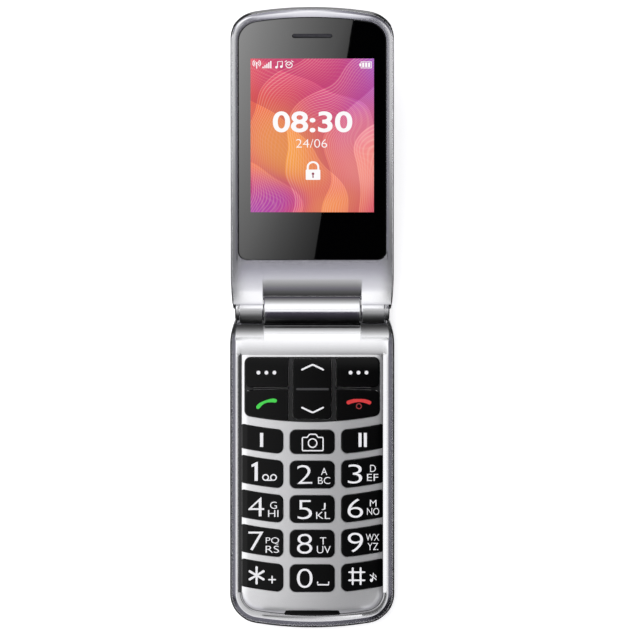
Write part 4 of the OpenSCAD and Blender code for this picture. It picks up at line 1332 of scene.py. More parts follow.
def sign(key):
    """The drawn signs of a key, as outlines."""
    if key == "key_1":
        return [ring_shape((-15.05, 53.98), 0.9), ring_shape((-12.5, 53.98), 0.9),
                stroke([(-15.05, 54.88), (-12.5, 54.88)], PEN),
                np.array([(-18.6, 55.1), (-18.6, 50.35), (-19.55, 50.65), (-19.65, 49.9),
                          (-18.0, 48.97), (-17.55, 48.97), (-17.55, 55.1)])]
    if key == "key_0":
        return [stroke([(1.75, 87.75), (1.75, 88.6), (5.3, 88.6), (5.3, 87.75)], PEN * 1.1)]
    if key == "key_star":
        c = np.array([-17.95, 85.55])
        arms = [stroke([c, c + 2.55 * np.array([math.sin(a), math.cos(a)])], [0.6, 0.8])
                for a in np.radians([0, 60, 120, 180, 240, 300])]
        return arms + [stroke([(-14.0, 86.95), (-11.9, 86.95)], 0.44),
                       stroke([(-12.95, 85.9), (-12.95, 88.0)], 0.44)]
    if key == "key_hash":
        lines = [stroke([(x, 83.3), (x, 88.4)], 0.62) for x in (13.05, 15.6)]
        lines += [stroke([(11.9, y), (16.85, y)], 0.54) for y in (84.55, 87.15)]
        note = [stroke([(19.4, 87.1), (19.75, 84.75), (20.6, 86.0)], 0.34),
                circle((19.1, 87.15), 0.52, 20), stroke([(18.7, 85.4), (20.6, 86.9)], 0.3)]
        return lines + note
    if key == "key_memory_1":
        return [box_shape(-16.85, -15.82, 39.6, 44.15)]
    if key == "key_memory_2":
        return [box_shape(14.92, 15.9, 39.6, 44.15), box_shape(16.64, 17.62, 39.6, 44.15)]
    if key == "key_camera":
        body = [(-3.2, 45.35), (-3.2, 41.05), (-1.6, 41.05), (-0.85, 40.05),
                (1.15, 40.05), (1.9, 41.05), (3.5, 41.05), (3.5, 45.35)]
        loop = with_corners(body, dict.fromkeys(range(len(body)), 0.4), 4)
        return [(grown(loop, PEN / 2), [grown(loop, -PEN / 2)]), ring_shape((0.1, 42.9), 1.38)]
    if key == "key_navigation":
        up = bent([(-3.3, 19.2), (0.15, 17.55), (3.5, 19.2)], 1.2)
        return [stroke(up, 0.56), stroke(up * [1, -1] + [0, 50.65], 0.56)]
    if key == "key_call":
        line = [(-17.5, 31.3), (-17.1, 30.82), (-16.6, 30.35), (-15.7, 29.8), (-14.6, 29.4),
                (-13.5, 29.2), (-12.6, 29.15), (-12.0, 29.2)]
        return [stroke(line, [1.2, 1.25, 1.1, 0.85, 0.85, 1.1, 1.25, 1.2])]
    if key == "key_end":
        line = arc((15.05, 38.2), 9.05, -112, -68, 14)
        width = np.interp(np.linspace(0, 1, 15), [0, 0.2, 0.5, 0.8, 1],
                          [1.25, 1.2, 0.95, 1.2, 1.25])
        return [stroke(line, width)]
    return []


def box_shape(x0, x1, y0, y1):
    """A plain printed bar."""
    return np.array([(x0, y1), (x1, y1), (x1, y0), (x0, y0)])


COLOURS = {"key_call": GREEN_PRINT, "key_end": RED_PRINT}
for key in KEYS + [NAV_KEY]:
    name = key[0]
    films = [glyphs(t, box, -0.012 if t.isdigit() else -0.004) for t, *box in TEXT.get(name, [])]
    films += sign(name)
    if not films:
        continue
    piece = make("print_" + name, printed(films, key_top(key)), in_base,
                 COLOURS.get(name, PRINT), PRINT_ANGLE)
    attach(piece, name)

power = make("print_power_ring", printed([ring_shape((15.05, 31.0), 0.8, 0.34)],
                                         key_top(KEYS[-1]), 0.015), in_base, DARK_RED_PRINT, PRINT_ANGLE)
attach(power, "key_end")
bar = make("print_navigation_bar",
           printed([stroke([(-4.9, 25.5), (5.0, 25.5)], 0.72)], key_top(NAV_KEY)),
           in_base, GREY_PRINT, PRINT_ANGLE)
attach(bar, "key_navigation")

# %% [markdown]
# ## Rows of equal things
#
# Dots on the two soft keys, the screws at the back and the fine holes of the earpiece all
# repeat along a straight line. One small Geometry Nodes tree does all of them: it lays
# points along a line and puts the object's own mesh on each. The result is turned into a
# plain mesh, because an export does not keep instances.

# %% Geometry Nodes: repeat along a line


def row_tree():
    """A tree that repeats its input mesh along a line."""
    tree = bpy.data.node_groups.new("repeat_along_a_line", "GeometryNodeTree")
    face = tree.interface
    face.new_socket("Geometry", in_out="INPUT", socket_type="NodeSocketGeometry")
    face.new_socket("Count", in_out="INPUT", socket_type="NodeSocketInt")
    face.new_socket("Step", in_out="INPUT", socket_type="NodeSocketVector")
    face.new_socket("Material", in_out="INPUT", socket_type="NodeSocketMaterial")
    face.new_socket("Geometry", in_out="OUTPUT", socket_type="NodeSocketGeometry")
    start = tree.nodes.new("NodeGroupInput")
    end = tree.nodes.new("NodeGroupOutput")
    line = tree.nodes.new("GeometryNodeMeshLine")
    line.mode = "OFFSET"
    put = tree.nodes.new("GeometryNodeInstanceOnPoints")
    real = tree.nodes.new("GeometryNodeRealizeInstances")
    paint = tree.nodes.new("GeometryNodeSetMaterial")
    link = tree.links.new
    link(start.outputs["Count"], line.inputs["Count"])
    link(start.outputs["Step"], line.inputs["Offset"])
    link(line.outputs["Mesh"], put.inputs["Points"])
    link(start.outputs["Geometry"], put.inputs["Instance"])
    link(put.outputs["Instances"], real.inputs["Geometry"])
    link(real.outputs["Geometry"], paint.inputs["Geometry"])
    link(start.outputs["Material"], paint.inputs["Material"])
    link(paint.outputs["Geometry"], end.inputs["Geometry"])
    return tree


ROW = row_tree()
SOCKET = {s.name: s.identifier for s in ROW.interface.items_tree if s.in_out == "INPUT"}


def row(piece, count, step, material):
    """Repeats a piece along a line and keeps the result as its plain mesh."""
    mod = piece.modifiers.new("row", "NODES")
    mod.node_group = ROW
    mod[SOCKET["Count"]] = count
    mod[SOCKET["Step"]] = [c * MM for c in step]
    mod[SOCKET["Material"]] = material
    mesh = evaluated_mesh(piece)
    piece.modifiers.remove(mod)
    piece.data = mesh
    mesh.set_sharp_from_angle(angle=math.radians(HOUSING_ANGLE))
    return piece


for side, first in (("left", -17.35), ("right", 12.35)):
    soft = next(k for k in KEYS if k[0] == "key_soft_" + side)
    dot = make("print_dots_" + side, printed([circle((first, 20.17), 0.62, 24)], key_top(soft)),
               in_base, PRINT, PRINT_ANGLE)
    row(dot, 3, (2.57, 0, 0), PRINT)
    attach(dot, soft[0])


def in_lid_step(x, y):
    """A step in the plane of the display half, in world millimetres."""
    return (x, y * math.cos(TILT), y * math.sin(TILT))


head_z = LID_BACK + 0.2
slot_a = np.array([(-0.75, -0.16), (-0.16, -0.16), (-0.16, -0.75), (0.16, -0.75), (0.16, -0.16),
                   (0.75, -0.16), (0.75, 0.16), (0.16, 0.16), (0.16, 0.75), (-0.16, 0.75),
                   (-0.16, 0.16), (-0.75, 0.16)])
screw_at = np.array([-SCREW[0], SCREW[1]])
head = join(plate(circle(screw_at, 1.38), [slot_a + screw_at],
                  [], flat_at(head_z + 0.45), head_z),
            turned([(1e-5, head_z + 0.45), (1.38, head_z + 0.45), (1.38, head_z + 0.65),
                    (1e-5, head_z + 0.65)], screw_at, 40))
screws = make("screws_of_display_half", head, in_lid, DARK_STEEL, HOUSING_ANGLE)
row(screws, 2, in_lid_step(2 * SCREW[0], 0), DARK_STEEL)
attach(screws, "lid")
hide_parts("lid_screws")

hole = make("earpiece_holes", printed([circle((-5.5, EARPIECE_Y), 0.2, 12)],
                                      flat_at(WINDOW_Z - 0.55), lift=0.01, sink=0.05),
            in_lid, DARK_STEEL, PRINT_ANGLE)
row(hole, 19, in_lid_step(11.0 / 18, 0), DARK_STEEL)
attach(hole, "lid")
print("rows made with Geometry Nodes")

# %% [markdown]
# ## The lit picture
#
# Behind the window lies a colour display. Its picture is painted by nodes: broad patches
# of warm and violet colour, pulled about by a slow noise, and over them folds of thin
# lines that run round far centres like drawn silk. It gives its own light, so it uses the
# emission of the shader and little reflection. The pattern reads the plate's own UV map.

# %% Picture material
PICTURE = (-19.85, 19.85, 33.4, 85.9)


def light(r, g, b):
    """A screen colour of 0 to 255 as the linear colour that nodes expect."""
    return tuple(((c / 255 + 0.055) / 1.055) ** 2.4 if c > 10 else c / 3300 for c in (r, g, b))


def math_node(tree, operation, a, b=None):
    """A Math node whose inputs are numbers or sockets."""
    n = node(tree, "ShaderNodeMath", operation=operation)
    for i, value in enumerate(v for v in (a, b) if v is not None):
        if isinstance(value, (int, float)):
            n.inputs[i].default_value = value
        else:
            tree.links.new(value, n.inputs[i])
    return n.outputs[0]


def nearness(tree, where, centre, reach):
    """1 at a centre, falling smoothly to 0 at its reach."""
    gap = node(tree, "ShaderNodeVectorMath", operation="DISTANCE")
    gap.inputs[1].default_value = (*centre, 0)
    tree.links.new(where, gap.inputs[0])
    near = mapped(tree, gap.outputs["Value"], 0, reach, 1, 0)
    near.node.interpolation_type = "SMOOTHSTEP"
    return near, gap.outputs["Value"]


def picture_material():
    """Patches of colour under folds of fine lines."""
    mat, tree, shader = new_material("lit_picture")
    uv = tree.nodes.new("ShaderNodeTexCoord").outputs["UV"]
    drift = node(tree, "ShaderNodeTexNoise", Scale=1.7, Detail=1.0)
    tree.links.new(uv, drift.inputs["Vector"])
    pull = node(tree, "ShaderNodeVectorMath", operation="MULTIPLY_ADD")
    pull.inputs[1].default_value = (0.55, 0.55, 0)
    pull.inputs[2].default_value = (-0.27, -0.27, 0)
    tree.links.new(drift.outputs["Color"], pull.inputs[0])
    add = node(tree, "ShaderNodeVectorMath", operation="ADD")
    tree.links.new(uv, add.inputs[0])
    tree.links.new(pull.outputs[0], add.inputs[1])
    where = add.outputs[0]
    colour = light(232, 78, 92)
    patches = [((0.92, 1.0), 0.8, light(132, 96, 236)), ((0.95, 0.62), 0.5, light(206, 112, 214)),
               ((0.30, 0.95), 0.42, light(222, 72, 122)), ((0.02, 0.68), 0.4, light(238, 92, 60)),
               ((0.22, 0.40), 0.4, light(255, 170, 62)), ((0.70, 0.30), 0.42, light(255, 156, 140)),
               ((0.48, 0.02), 0.34, light(255, 156, 84)), ((0.0, 0.0), 0.36, light(170, 72, 190)),
               ((1.0, 0.05), 0.34, light(208, 50, 104))]
    for centre, reach, patch in patches:
        near, _ = nearness(tree, where, centre, reach)
        colour = blended(tree, near, colour, patch)
    for centre, folds, lines, turn in (((1.35, 0.15), 4.3, 420, 0.33),
                                       ((-0.35, -0.2), 3.1, 380, 0.1)):
        _, away = nearness(tree, where, centre, 1)
        fold = math_node(tree, "FRACT", math_node(tree, "MULTIPLY", away, folds))
        shade = math_node(tree, "MULTIPLY", math_node(tree, "SUBTRACT", 1.0, fold), 0.3)
        colour = blended(tree, shade, colour, light(160, 34, 92))
        wave = math_node(tree, "SINE", math_node(tree, "MULTIPLY", away, lines))
        lift = math_node(tree, "MULTIPLY", math_node(tree, "MAXIMUM", wave, 0.0), turn)
        mask = math_node(tree, "MULTIPLY", lift, fold)
        colour = blended(tree, mask, colour, light(255, 214, 196))
    tree.links.new(colour, shader.inputs["Emission Color"])
    shader.inputs["Emission Strength"].default_value = 1.0
    shader.inputs["Base Color"].default_value = (0.005, 0.005, 0.005, 1)
    shader.inputs["Specular IOR Level"].default_value = 0.12
    haze = noise(tree, 60, 1.0)
    tree.links.new(spread(tree, haze, 0.05, 0.09), shader.inputs["Roughness"])
    return mat


def lit(name, colour):
    """An even light of one colour, a little uneven in gloss."""
    mat, tree, shader = new_material(name)
    shader.inputs["Base Color"].default_value = (0.02, 0.02, 0.02, 1)
    shader.inputs["Specular IOR Level"].default_value = 0.12
    shader.inputs["Emission Strength"].default_value = 1.0
    glow = blended(tree, spread(tree, noise(tree, 700, 1.0), 0, 1),
                   tuple(c * 0.97 for c in colour), colour)
    tree.links.new(glow, shader.inputs["Emission Color"])
    tree.links.new(spread(tree, noise(tree, 300, 1.0), 0.06, 0.1), shader.inputs["Roughness"])
    return mat


LIT_PICTURE = picture_material()
LIT_WHITE = lit("lit_white", (0.97, 0.96, 0.97))
LIT_ROSE = lit("lit_rose", light(150, 70, 90))
print("picture nodes:", len(LIT_PICTURE.node_tree.nodes))

# %% [markdown]
# ## The picture plate and its signs
#
# The plate lies a hundredth of a millimetre proud of the window. The clock, the date, the
# padlock and the row of status signs are thin films on it, made like the prints on the
# keys.

# %% Picture plate
PICTURE_Z = WINDOW_Z + 0.012
x0, x1, y0, y1 = PICTURE
frame_line = np.array([(x0, y0), (x1, y0), (x1, y1), (x0, y1)])
picture = make("display_picture", plate(frame_line, [], [], flat_at(PICTURE_Z), WINDOW_Z - 0.1),
               in_lid, LIT_PICTURE, HOUSING_ANGLE)
uv_map = picture.data.uv_layers.new(name="UVMap")
for loop in picture.data.loops:
    spot = picture.data.vertices[loop.vertex_index].co / MM
    along = (spot.y - HINGE_Y) * math.cos(TILT) + (spot.z - AXIS_Z) * math.sin(TILT)
    uv_map.data[loop.index].uv = ((spot.x - x0) / (y1 - y0), (along - y0) / (y1 - y0))
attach(picture, "lid")


def arch(centre, radius, pen, start, end):
    """An open round stroke."""
    return stroke(arc(centre, radius, start, end, 14), pen)


TOP = 82.6
signs = [glyphs("08:30", (-12.7, 12.9, 67.9, 60.7), 0.02)]
signs += [box_shape(-16.0 + 0.62 * i, -15.6 + 0.62 * i, TOP, TOP + 0.55 + 0.48 * i)
          for i in range(5)]
signs += [stroke([(-17.85, TOP), (-17.85, 84.3)], 0.3), circle((-17.85, 84.35), 0.32, 16)]
for reach in (0.75, 1.25):
    signs += [arch((-17.85, 84.3), reach, 0.24, middle - 50, middle + 50) for middle in (0, 180)]
signs += [circle((-11.5, TOP + 0.35), 0.42, 18), circle((-9.95, TOP + 0.55), 0.42, 18),
          stroke([(-11.15, TOP + 0.4), (-11.15, 84.8), (-9.6, 85.0), (-9.6, TOP + 0.6)], 0.26),
          ring_shape((-7.45, 83.75), 1.0, 0.26),
          stroke([(-8.0, 84.0), (-7.5, 83.6), (-6.9, 84.3)], 0.24),
          stroke([(-8.75, 84.8), (-8.25, 85.15)], 0.24),
          stroke([(-6.15, 84.8), (-6.65, 85.15)], 0.24)]
case = np.array([(15.6, TOP), (19.1, TOP), (19.1, 84.9), (15.6, 84.9)])
signs += [(case, [grown(case, -0.2)]), box_shape(15.15, 15.6, 83.3, 84.2)]
signs += [box_shape(16.05 + 0.95 * i, 16.75 + 0.95 * i, TOP + 0.4, 84.5) for i in range(3)]
lock = [(-2.1, 44.5), (2.6, 44.5), (2.6, 48.0), (-2.1, 48.0)]
shackle = np.vstack([[(-1.45, 47.6)], arc((0.25, 48.85), 1.7, 180, 0, 14), [(1.95, 47.6)]])
signs += [with_corners(lock, dict.fromkeys(range(4), 0.3), 4), stroke(shackle, 0.62)]
lit_signs = make("display_signs", printed(signs, flat_at(PICTURE_Z), lift=0.006, sink=0.004),
                 in_lid, LIT_WHITE, PRINT_ANGLE)
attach(lit_signs, "lid")
date = make("display_date", printed([glyphs("24/06", (-5.2, 4.8, 58.4, 55.5), -0.012)],
                                    flat_at(PICTURE_Z), lift=0.006, sink=0.004), in_lid, LIT_WHITE,
            PRINT_ANGLE)
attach(date, "lid")
keyhole = make("display_keyhole", printed([circle((0.25, 46.6), 0.42, 18),
                                           stroke([(0.25, 46.4), (0.25, 45.4)], [0.3, 0.45])],
                                          flat_at(PICTURE_Z), lift=0.16, sink=0.004),
               in_lid, LIT_ROSE, PRINT_ANGLE)
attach(keyhole, "lid")
print("picture and", len(signs) + 3, "signs")

# %% [markdown]
# ## The parts inside
#
# The battery, the boards, the springs and the hinge shafts keep the shapes of the packed
# solids. They are seen only through gaps and openings, but each still gets its own
# finish: foil, plated metal, lacquered board or silicone.

# %% Finishes of the solids that stay
INSIDE = {
    "key_frame": BLACK, "battery": CAN, "battery_contacts": GOLD, "main_board": BOARD,
    "shield_can": STEEL, "sim_holder": STEEL, "memory_card_holder": STEEL, "loudspeaker": BLACK,
    "vibration_motor": STEEL, "microphone": STEEL, "microphone_trim": KEY_BLACK, "usb_port": STEEL,
    "keypad_membrane": RUBBER, "contact_domes": GOLD, "base_screws": DARK_STEEL,
    "hinge_cartridge": STEEL, "hinge_bush": STEEL, "hinge_flex": FILM,
    "display_panel": GLASS_BLACK, "display_frame": STEEL, "earpiece_speaker": BLACK,
    "earpiece_mesh": DARK_STEEL, "camera_module": BLACK, "hinge_cam_shaft": STEEL,
    "hinge_pin": STEEL}
for name, finish_of in INSIDE.items():
    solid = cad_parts[name]
    solid.data.materials.clear()
    solid.data.materials.append(finish_of)
print("solids with a finish of their own:", len(INSIDE))

# %% [markdown]
# ## Floor
#
# The phone lies on a white sheet. A glow that only lines of sight and reflections see
# makes it pure white, but it still takes a shadow. It lies a twentieth of a millimetre
# lower than the phone's back, or the two surfaces would share one plane.

# %% Floor
FLOOR_Z = -0.00005
FLOOR_HALF = 4
FLOOR_GLOW = 0.62
floor_material, tree, shader = new_material("white_sheet")
tree.nodes.remove(shader)
matte = node(tree, "ShaderNodeBsdfDiffuse", Color=(0.9, 0.9, 0.9, 1))
glow = tree.nodes.new("ShaderNodeEmission")
both = tree.nodes.new("ShaderNodeAddShader")
path = tree.nodes.new("ShaderNodeLightPath")
seen = math_node(tree, "MAXIMUM", path.outputs["Is Camera Ray"], path.outputs["Is Glossy Ray"])
seen = math_node(tree, "MAXIMUM", seen, path.outputs["Is Transmission Ray"])
tree.links.new(math_node(tree, "MULTIPLY", seen, FLOOR_GLOW), glow.inputs["Strength"])
tree.links.new(matte.outputs[0], both.inputs[0])
tree.links.new(glow.outputs[0], both.inputs[1])
tree.links.new(both.outputs[0], tree.nodes["Material Output"].inputs["Surface"])
floor_mesh = bpy.data.meshes.new("floor")
floor_mesh.from_pydata([(x * FLOOR_HALF, y * FLOOR_HALF, FLOOR_Z)
                        for x, y in ((-1, -1), (1, -1), (1, 1), (-1, 1))], [], [(0, 1, 2, 3)])
floor_mesh.materials.append(floor_material)
floor_object = bpy.data.objects.new("floor", floor_mesh)
bpy.context.scene.collection.objects.link(floor_object)
print("floor at z in metres:", FLOOR_Z)

# %% [markdown]
# ## The room
#
# Polished paint shows what stands round it. The room is bright overhead and beyond the
# display, greyer over the keys and dim near the floor, and its right side is darker than
# its left. The camera itself sees plain white.

# %% World
ROOM_GAIN = (1.35, 1.35, 1.35)


def ramp_of(tree, value, stops):
    """A colour ramp over stops of (place, tone). A tone is a grey level or a colour."""
    n = tree.nodes.new("ShaderNodeValToRGB")
    elements = n.color_ramp.elements
    while len(elements) < len(stops):
        elements.new(0.5)
    for element, (place, tone) in zip(elements, stops):
        element.position = place
        element.color = (*tone, 1) if isinstance(tone, tuple) else (tone, tone, tone, 1)
    tree.links.new(value, n.inputs["Fac"])
    return n.outputs["Color"]


def place_parts(tree, kind="Object"):
    """The place of a shaded point, as separate x, y and z. Object places are in metres."""
    parts = tree.nodes.new("ShaderNodeSeparateXYZ")
    tree.links.new(tree.nodes.new("ShaderNodeTexCoord").outputs[kind], parts.inputs[0])
    return parts.outputs


world = bpy.data.worlds.new("studio")
bpy.context.scene.world = world
world.use_nodes = True
tree = world.node_tree
background = tree.nodes["Background"]
ray = place_parts(tree, "Generated")
lean = math_node(tree, "ARCTAN2", ray["Y"], ray["Z"])
LEVELS = [(-90, 0.12), (-75, 0.14), (-60, 0.16), (-46, 0.12), (-40, 0.13), (-35, 0.29), (-28.6, 0.5),
          (-24, 0.63), (-10, 0.81), (-4, 1.0), (40, 1.0), (47, 0.45), (60, 0.33), (76, 0.24), (90, 0.1)]
along = ramp_of(tree, mapped(tree, lean, -math.pi / 2, math.pi / 2),
                [((a + 90) / 180, v) for a, v in LEVELS])
SIDES = [(-1.0, 0.16), (-0.94, 0.25), (-0.84, 1.0), (0.04, 1.0), (0.12, 0.62), (0.22, 0.24),
         (0.4, 0.11), (0.85, 0.1), (0.94, 0.18), (1.0, 0.16)]
across = ramp_of(tree, mapped(tree, ray["X"], -1, 1), [((x + 1) / 2, v) for x, v in SIDES])
brightness = math_node(tree, "MULTIPLY", along, across)
tint = blended(tree, brightness, (0.92, 0.90, 1.08), (1.0, 1.0, 1.0))
brightness = blended(tree, 1.0, brightness, tint, "MULTIPLY")
brightness = blended(tree, 1.0, brightness, ROOM_GAIN, "MULTIPLY")
path = tree.nodes.new("ShaderNodeLightPath")
shade = blended(tree, path.outputs["Is Camera Ray"], brightness, (1.0, 1.0, 1.0))
tree.links.new(shade, background.inputs["Color"])
print("levels in the room:", len(LEVELS), "along,", len(SIDES), "across")

# %% [markdown]
# ## Lamp, and helpers for cards
#
# One large soft lamp hangs almost straight above and gives the even light. It shows in no
# reflection. What the paint and the window mirror are cards, which nothing but
# reflections can see, so they block no light and hide nothing from any side.

# %% Lamp and cards
lamp_data = bpy.data.lights.new("soft_lamp", "AREA")
lamp_data.shape = "SQUARE"
lamp_data.size = 1.6
lamp_data.energy = 7.5
lamp = bpy.data.objects.new("soft_lamp", lamp_data)
lamp.location = (-0.1, 0.1, 1.2)
lamp.rotation_euler = Vector(lamp.location).to_track_quat("Z", "Y").to_euler()
lamp.visible_glossy = False
bpy.context.scene.collection.objects.link(lamp)


def card(name, corners, material, faces=None):
    """A card that only reflections see, of one face or several."""
    mesh = bpy.data.meshes.new(name)
    mesh.from_pydata([tuple(c) for c in corners], [], faces or [tuple(range(len(corners)))])
    mesh.materials.append(material)
    obj = bpy.data.objects.new(name, mesh)
    bpy.context.scene.collection.objects.link(obj)
    obj.visible_camera = False
    obj.visible_diffuse = False
    obj.visible_shadow = False
    obj.visible_transmission = False
    obj.visible_volume_scatter = False
    return obj


def rectangle(x0, x1, y0, y1, z):
    """The corners of a level rectangle given in millimetres."""
    return np.array([(x0, y0, z), (x1, y0, z), (x1, y1, z), (x0, y1, z)]) * MM


def glowing(name, strength):
    """A plain emitting material."""
    mat = bpy.data.materials.new(name)
    mat.use_nodes = True
    tree = mat.node_tree
    tree.nodes.clear()
    glow = node(tree, "ShaderNodeEmission", Strength=strength)
    out = tree.nodes.new("ShaderNodeOutputMaterial")
    tree.links.new(glow.outputs[0], out.inputs["Surface"])
    return mat, tree, glow


def see_through(tree, glow, factor):
    """Mixes a card's glow with a clear shader, by a factor of clearness."""
    clear = tree.nodes.new("ShaderNodeBsdfTransparent")
    choose = tree.nodes.new("ShaderNodeMixShader")
    tree.links.new(factor, choose.inputs[0])
    tree.links.new(glow.outputs[0], choose.inputs[1])
    tree.links.new(clear.outputs[0], choose.inputs[2])
    tree.links.new(choose.outputs[0], tree.nodes["Material Output"].inputs["Surface"])


print("lamp:", lamp_data.energy, "watts")

# %% [markdown]
# ## Flags at the hinge
#
# The barrel, the knuckles and the curves in front of them mirror upright flags that stand
# across the hinge, graded by height. A flag is solid on one side only, so two of them can
# stand back to back. The middle ones serve the barrel and the notch, the outer ones the
# knuckles and the crests.

# %% Flags at the hinge


def flag(name, x_ranges, y, towards, stops):
    """An upright card across the hinge, solid on one side only, graded by height.

    `stops` are (height, tone); `towards` is the side it can be seen from, +1 or -1."""
    mat, tree, glow = glowing(name, 1.0)
    see_through(tree, glow, tree.nodes.new("ShaderNodeNewGeometry").outputs["Backfacing"])
    low, high = stops[0][0], stops[-1][0]
    height = mapped(tree, place_parts(tree)["Z"], low * MM, high * MM)
    shade = ramp_of(tree, height, [((z - low) / (high - low), tone) for z, tone in stops])
    tree.links.new(blended(tree, 1.0, shade, ROOM_GAIN, "MULTIPLY"), glow.inputs["Color"])
    for number, (x0, x1) in enumerate(x_ranges):
        corners = [(x0, y, low), (x1, y, low), (x1, y, high), (x0, y, high)]
        card(name + "_" + str(number), np.array(corners[::-1] if towards > 0 else corners) * MM, mat)


MIDDLE = [(-15.6, 15.6)]
ENDS = [(-34, -15.7), (15.7, 34)]
KEY_SIDE_Y, KEY_CREST_Y = 46.6, 47.05
LID_SIDE_Y, LID_NOTCH_Y = 55.7, 55.75
flag("barrel_flag", MIDDLE, KEY_SIDE_Y, 1, [(9.3, 0.0), (13, 0.0), (18, (0.028, 0.025, 0.035)),
                                            (30, (0.055, 0.045, 0.075))])
flag("knuckle_flag", ENDS, KEY_SIDE_Y, 1, [(8, 0.0), (13.2, 0.01), (14.8, 0.04), (19.3, 0.2),
                                           (25, 0.37), (32, 0.6)])
flag("notch_flag", MIDDLE, LID_NOTCH_Y, 1, [(9, 0.03), (11.2, 0.045), (12.4, 0.085),
                                            (13.9, (0.14, 0.135, 0.155)), (16, 0.22),
                                            (19.4, 0.34), (24, 0.42)])
flag("lid_flag", MIDDLE, LID_SIDE_Y, -1, [(9, 0.03), (11.4, (0.05, 0.045, 0.06)), (13, 0.2),
                                          (14.9, 0.53), (17, 0.95), (24, 1.0), (40, 0.85),
                                          (60, 0.65), (100, 0.6)])
flag("crest_flag", ENDS, KEY_CREST_Y, -1, [(8.5, 0.025), (9.55, 0.045), (11.3, 0.14), (14.3, 0.4),
                                           (19.4, 0.77), (24, 0.95)])
flag("web_flag", MIDDLE, KEY_CREST_Y, -1, [(4, 0), (8.0, 0.0), (8.6, 0.17), (9.55, 0.2),
                                           (11.3, 0.22), (14.3, 0.44), (19.4, 0.77), (24, 0.95)])

# %% [markdown]
# ## Level cards
#
# Two cards hang level over the phone. The one over the knuckles grows lighter towards the
# display. The one over the keys is light at the left and dark at the right, and brightens
# over the brow. Both end in a clear edge.

# %% Level cards over the knuckles and the keys
KNUCKLE_CARD_Z = 24.0
FENCE_TOP = 22.0
FENCE_X = 22.8


def overhead(name, x_ranges, y0, y1, z, strength):
    """A level card. `strength` adds its node graph and returns the factor of clearness."""
    mat, tree, glow = glowing(name, 1.0)
    see_through(tree, glow, strength(tree, place_parts(tree), glow))
    for number, (x0, x1) in enumerate(x_ranges):
        card(name + "_" + str(number), rectangle(x0, x1, y0, y1, z), mat)


def over_knuckles(tree, place, glow):
    """Darker towards the keys, lighter towards the display."""
    steps = [(0.0, 0.27), (0.16, 0.36), (0.41, 0.47), (0.62, 0.57), (0.84, 0.68), (1.0, 0.81)]
    tree.links.new(ramp_of(tree, mapped(tree, place["Y"], 46 * MM, 54.5 * MM), steps),
                   glow.inputs["Strength"])
    return mapped(tree, place["Y"], 54.4 * MM, 54.5 * MM)


def over_keys(tree, place, glow):
    """Light at the left, dark at the right, and clear towards the hinge."""
    steps = [(0.0, 0.66), (0.13, 0.6), (0.31, 0.45), (0.5, 0.3), (0.69, 0.16), (0.87, 0.1),
             (1.0, 0.07)]
    over_panel = ramp_of(tree, mapped(tree, place["X"], -22 * MM, 22 * MM), steps)
    over_brow = ramp_of(tree, mapped(tree, place["Y"], 32 * MM, 44 * MM),
                        [(0.0, 0.46), (0.1, 0.54), (0.25, 0.68), (0.5, 0.94), (0.8, 1.27),
                         (1.0, 1.35)])
    change = mapped(tree, place["Y"], 31.5 * MM, 34.5 * MM)
    tree.links.new(blended(tree, change, over_panel, over_brow), glow.inputs["Color"])
    return mapped(tree, place["Y"], 43.9 * MM, 44 * MM)


overhead("knuckle_card", ENDS, 46.0, 54.5, KNUCKLE_CARD_Z, over_knuckles)
overhead("key_card", [(-FENCE_X, FENCE_X)], -46.9, 44.0, FENCE_TOP, over_keys)
print("level cards at", KNUCKLE_CARD_Z, "and", FENCE_TOP, "mm")

# %% [markdown]
# ## A fence between the key panel and its rim
#
# Two upright cards stand in the gap of a tenth of a millimetre between the key panel and
# its rim, and reach down into it. A third, flat one crosses the free end. Each side of a
# card has its own shades, which run from left to right. A level card joins the top of the
# fence to the outer edge of the rim.

# %% Fence, and a card over the rim
FENCE_LOW = 9.0
FENCE_INSET = BASE_SEAT + 0.05
END_X, END_Y, END_LOW = 16.0, 98.0, 11.0
OVER_RIM_INSET = 0.4


def sheet(name, low, high, material):
    """A strip of faces between two lines, seen by reflections only."""
    return card(name, np.vstack([low, high]), material,
                [(i, i + 1, len(low) + i + 1, len(low) + i) for i in range(len(low) - 1)])


def round_rim(inset, z):
    """A line round the key half's rim, from left to right, at one inset and height."""
    return in_base(level(u_line(inset, PANEL_Y, BASE_SHIFT)[::-1], z))


FENCE, tree, glow = glowing("fence", 1.0)
across = mapped(tree, place_parts(tree)["X"], -FENCE_X * MM, FENCE_X * MM)
outer = ramp_of(tree, across, [(0.0, 0.05), (0.15, 0.11), (0.5, 0.43), (0.85, 1.25), (1.0, 1.15)])
inner = ramp_of(tree, across, [(0.0, 1.2), (0.02, 1.2), (0.08, 0.3), (0.15, 0.03), (0.85, 0.01),
                               (1.0, 0.01)])
side = tree.nodes.new("ShaderNodeNewGeometry").outputs["Backfacing"]
tree.links.new(blended(tree, side, outer, inner), glow.inputs["Color"])
above = round_rim(FENCE_INSET, FENCE_TOP)
for name, run in (("wall_left", slice(0, 2)), ("wall_right", slice(-2, None))):
    sheet(name, round_rim(FENCE_INSET, FENCE_LOW)[run], above[run], FENCE)
end = np.array([(-END_X, END_Y, END_LOW), (END_X, END_Y, END_LOW)])
sheet("wall_end", in_base(end), in_base(end * [1, 1, 0] + [0, 0, FENCE_TOP]), FENCE)
OVER_RIM, _, _ = glowing("over_rim", 0.78)
sheet("over_rim", above, round_rim(OVER_RIM_INSET, FENCE_TOP), OVER_RIM)
print("fence from", FENCE_LOW, "to", FENCE_TOP, "mm")

# %% [markdown]
# ## A skirt on the floor
#
# The outer slopes of both halves look down and outwards. They mirror a dark skirt that
# lies just above the sheet, all round the phone. Beyond the display it is paler.

